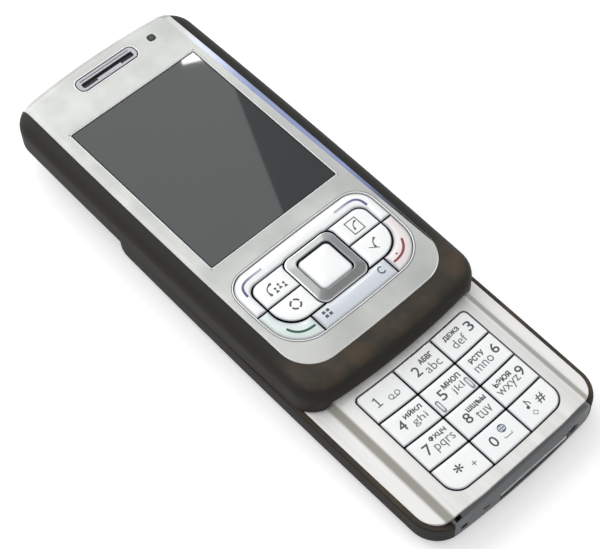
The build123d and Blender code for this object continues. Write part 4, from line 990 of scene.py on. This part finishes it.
FLOOR_LOW = -2e-5
floor_corners = [(x, y, FLOOR_LOW) for x, y in ((-3, -3), (3, -3), (3, 3), (-3, 3))]
floor_mesh = bpy.data.meshes.new("floor")
floor_mesh.from_pydata(floor_corners, [], [(0, 1, 2, 3)])
floor = bpy.data.objects.new("floor", floor_mesh)
bpy.context.scene.collection.objects.link(floor)
matt_glow = {"Specular IOR Level": 0.1, "Emission Strength": 1.0}
paper = Finish("floor_white", (0.86, 0.86, 0.86), 0.9, matt_glow)
seen = paper.node("ShaderNodeLightPath", {}, {}, "Is Camera Ray")
paper.feed("Emission Color", paper.blend(seen, (0, 0, 0), (0.35, 0.35, 0.35)))
paper.wear(floor)


class Sky(Finish):
    """The world's light, whose patterns read the direction it comes from."""

    def __init__(self):
        world = bpy.data.worlds.new("studio")
        bpy.context.scene.world = world
        world.use_nodes = True
        self.tree = world.node_tree
        self.shader = self.tree.nodes["Background"]
        self.shader.inputs["Strength"].default_value = 1.0
        self.place = self.node("ShaderNodeTexCoord", {}, {}, "Generated")


sky = Sky()
seen = sky.node("ShaderNodeLightPath", {}, {}, "Is Camera Ray")
mirrored = sky.node("ShaderNodeLightPath", {}, {}, "Is Glossy Ray")
high_up = sky.node("ShaderNodeSeparateXYZ", {}, {0: sky.place}, "Z").between(0.35, 0.6)
DARK_CARD, PALE_CARD = (0.694, 0.324, 0.643), (0.5995, 0.5575, 0.5742)
near_dark = sky.measure("DOT_PRODUCT", sky.place, DARK_CARD).between(0.9914, 0.9969)
near_pale = sky.measure("DOT_PRODUCT", sky.place, PALE_CARD).between(0.9984, 0.9996)
overhead = sky.blend(near_dark, (0.45, 0.45, 0.45), (0.05, 0.05, 0.05))
mirror_tone = sky.blend(high_up, (1.0, 1.0, 1.0), overhead)
mirror_tone = sky.blend(near_pale, mirror_tone, (1.6, 1.6, 1.6))
object_tone = sky.blend(mirrored, (0.72, 0.72, 0.72), mirror_tone)
sky.feed("Color", sky.blend(seen, object_tone, (1.0, 1.0, 1.0)))


def softbox(name, azimuth, elevation, distance, size, power, tone=(1, 1, 1), roll=0.0):
    """An area light of that width and height that faces the phone, turned in its own plane by an
    angle. Azimuth 0 is along +Y and 90 along +X."""
    lamp = bpy.data.lights.new(name, "AREA")
    lamp.shape, lamp.energy, lamp.color = "RECTANGLE", power, tone
    lamp.size, lamp.size_y = size
    box = bpy.data.objects.new(name, lamp)
    bpy.context.scene.collection.objects.link(box)
    a, e = np.radians((azimuth, elevation))
    towards = Vector((np.sin(a) * np.cos(e), np.cos(a) * np.cos(e), np.sin(e)))
    box.location = towards * distance
    facing = (-towards).to_track_quat("-Z", "Y") @ Quaternion((0, 0, 1), np.radians(roll))
    box.rotation_euler = facing.to_euler()


softbox("window_light", -8, 42, 1.1, (1.3, 1.0), 7.6, roll=-15)
softbox("cool_panel", 52.3, 39, 1.0, (0.18, 0.22), 0.09, (0.24, 0.36, 1.0))
softbox("ceiling_spot", 34.0, 46.7, 1.0, (0.032, 0.04), 0.1, roll=6)

lens = bpy.data.cameras.new("camera")
lens.lens, lens.sensor_width = 98.4, 36.0
camera = bpy.data.objects.new("camera", lens)
camera.location = (-0.12553, -0.15129, 0.30437)
camera.rotation_euler = np.radians((32.797, 1.416, -42.324))
bpy.context.scene.collection.objects.link(camera)
bpy.context.scene.camera = camera
bpy.context.scene.view_settings.view_transform = "Standard"
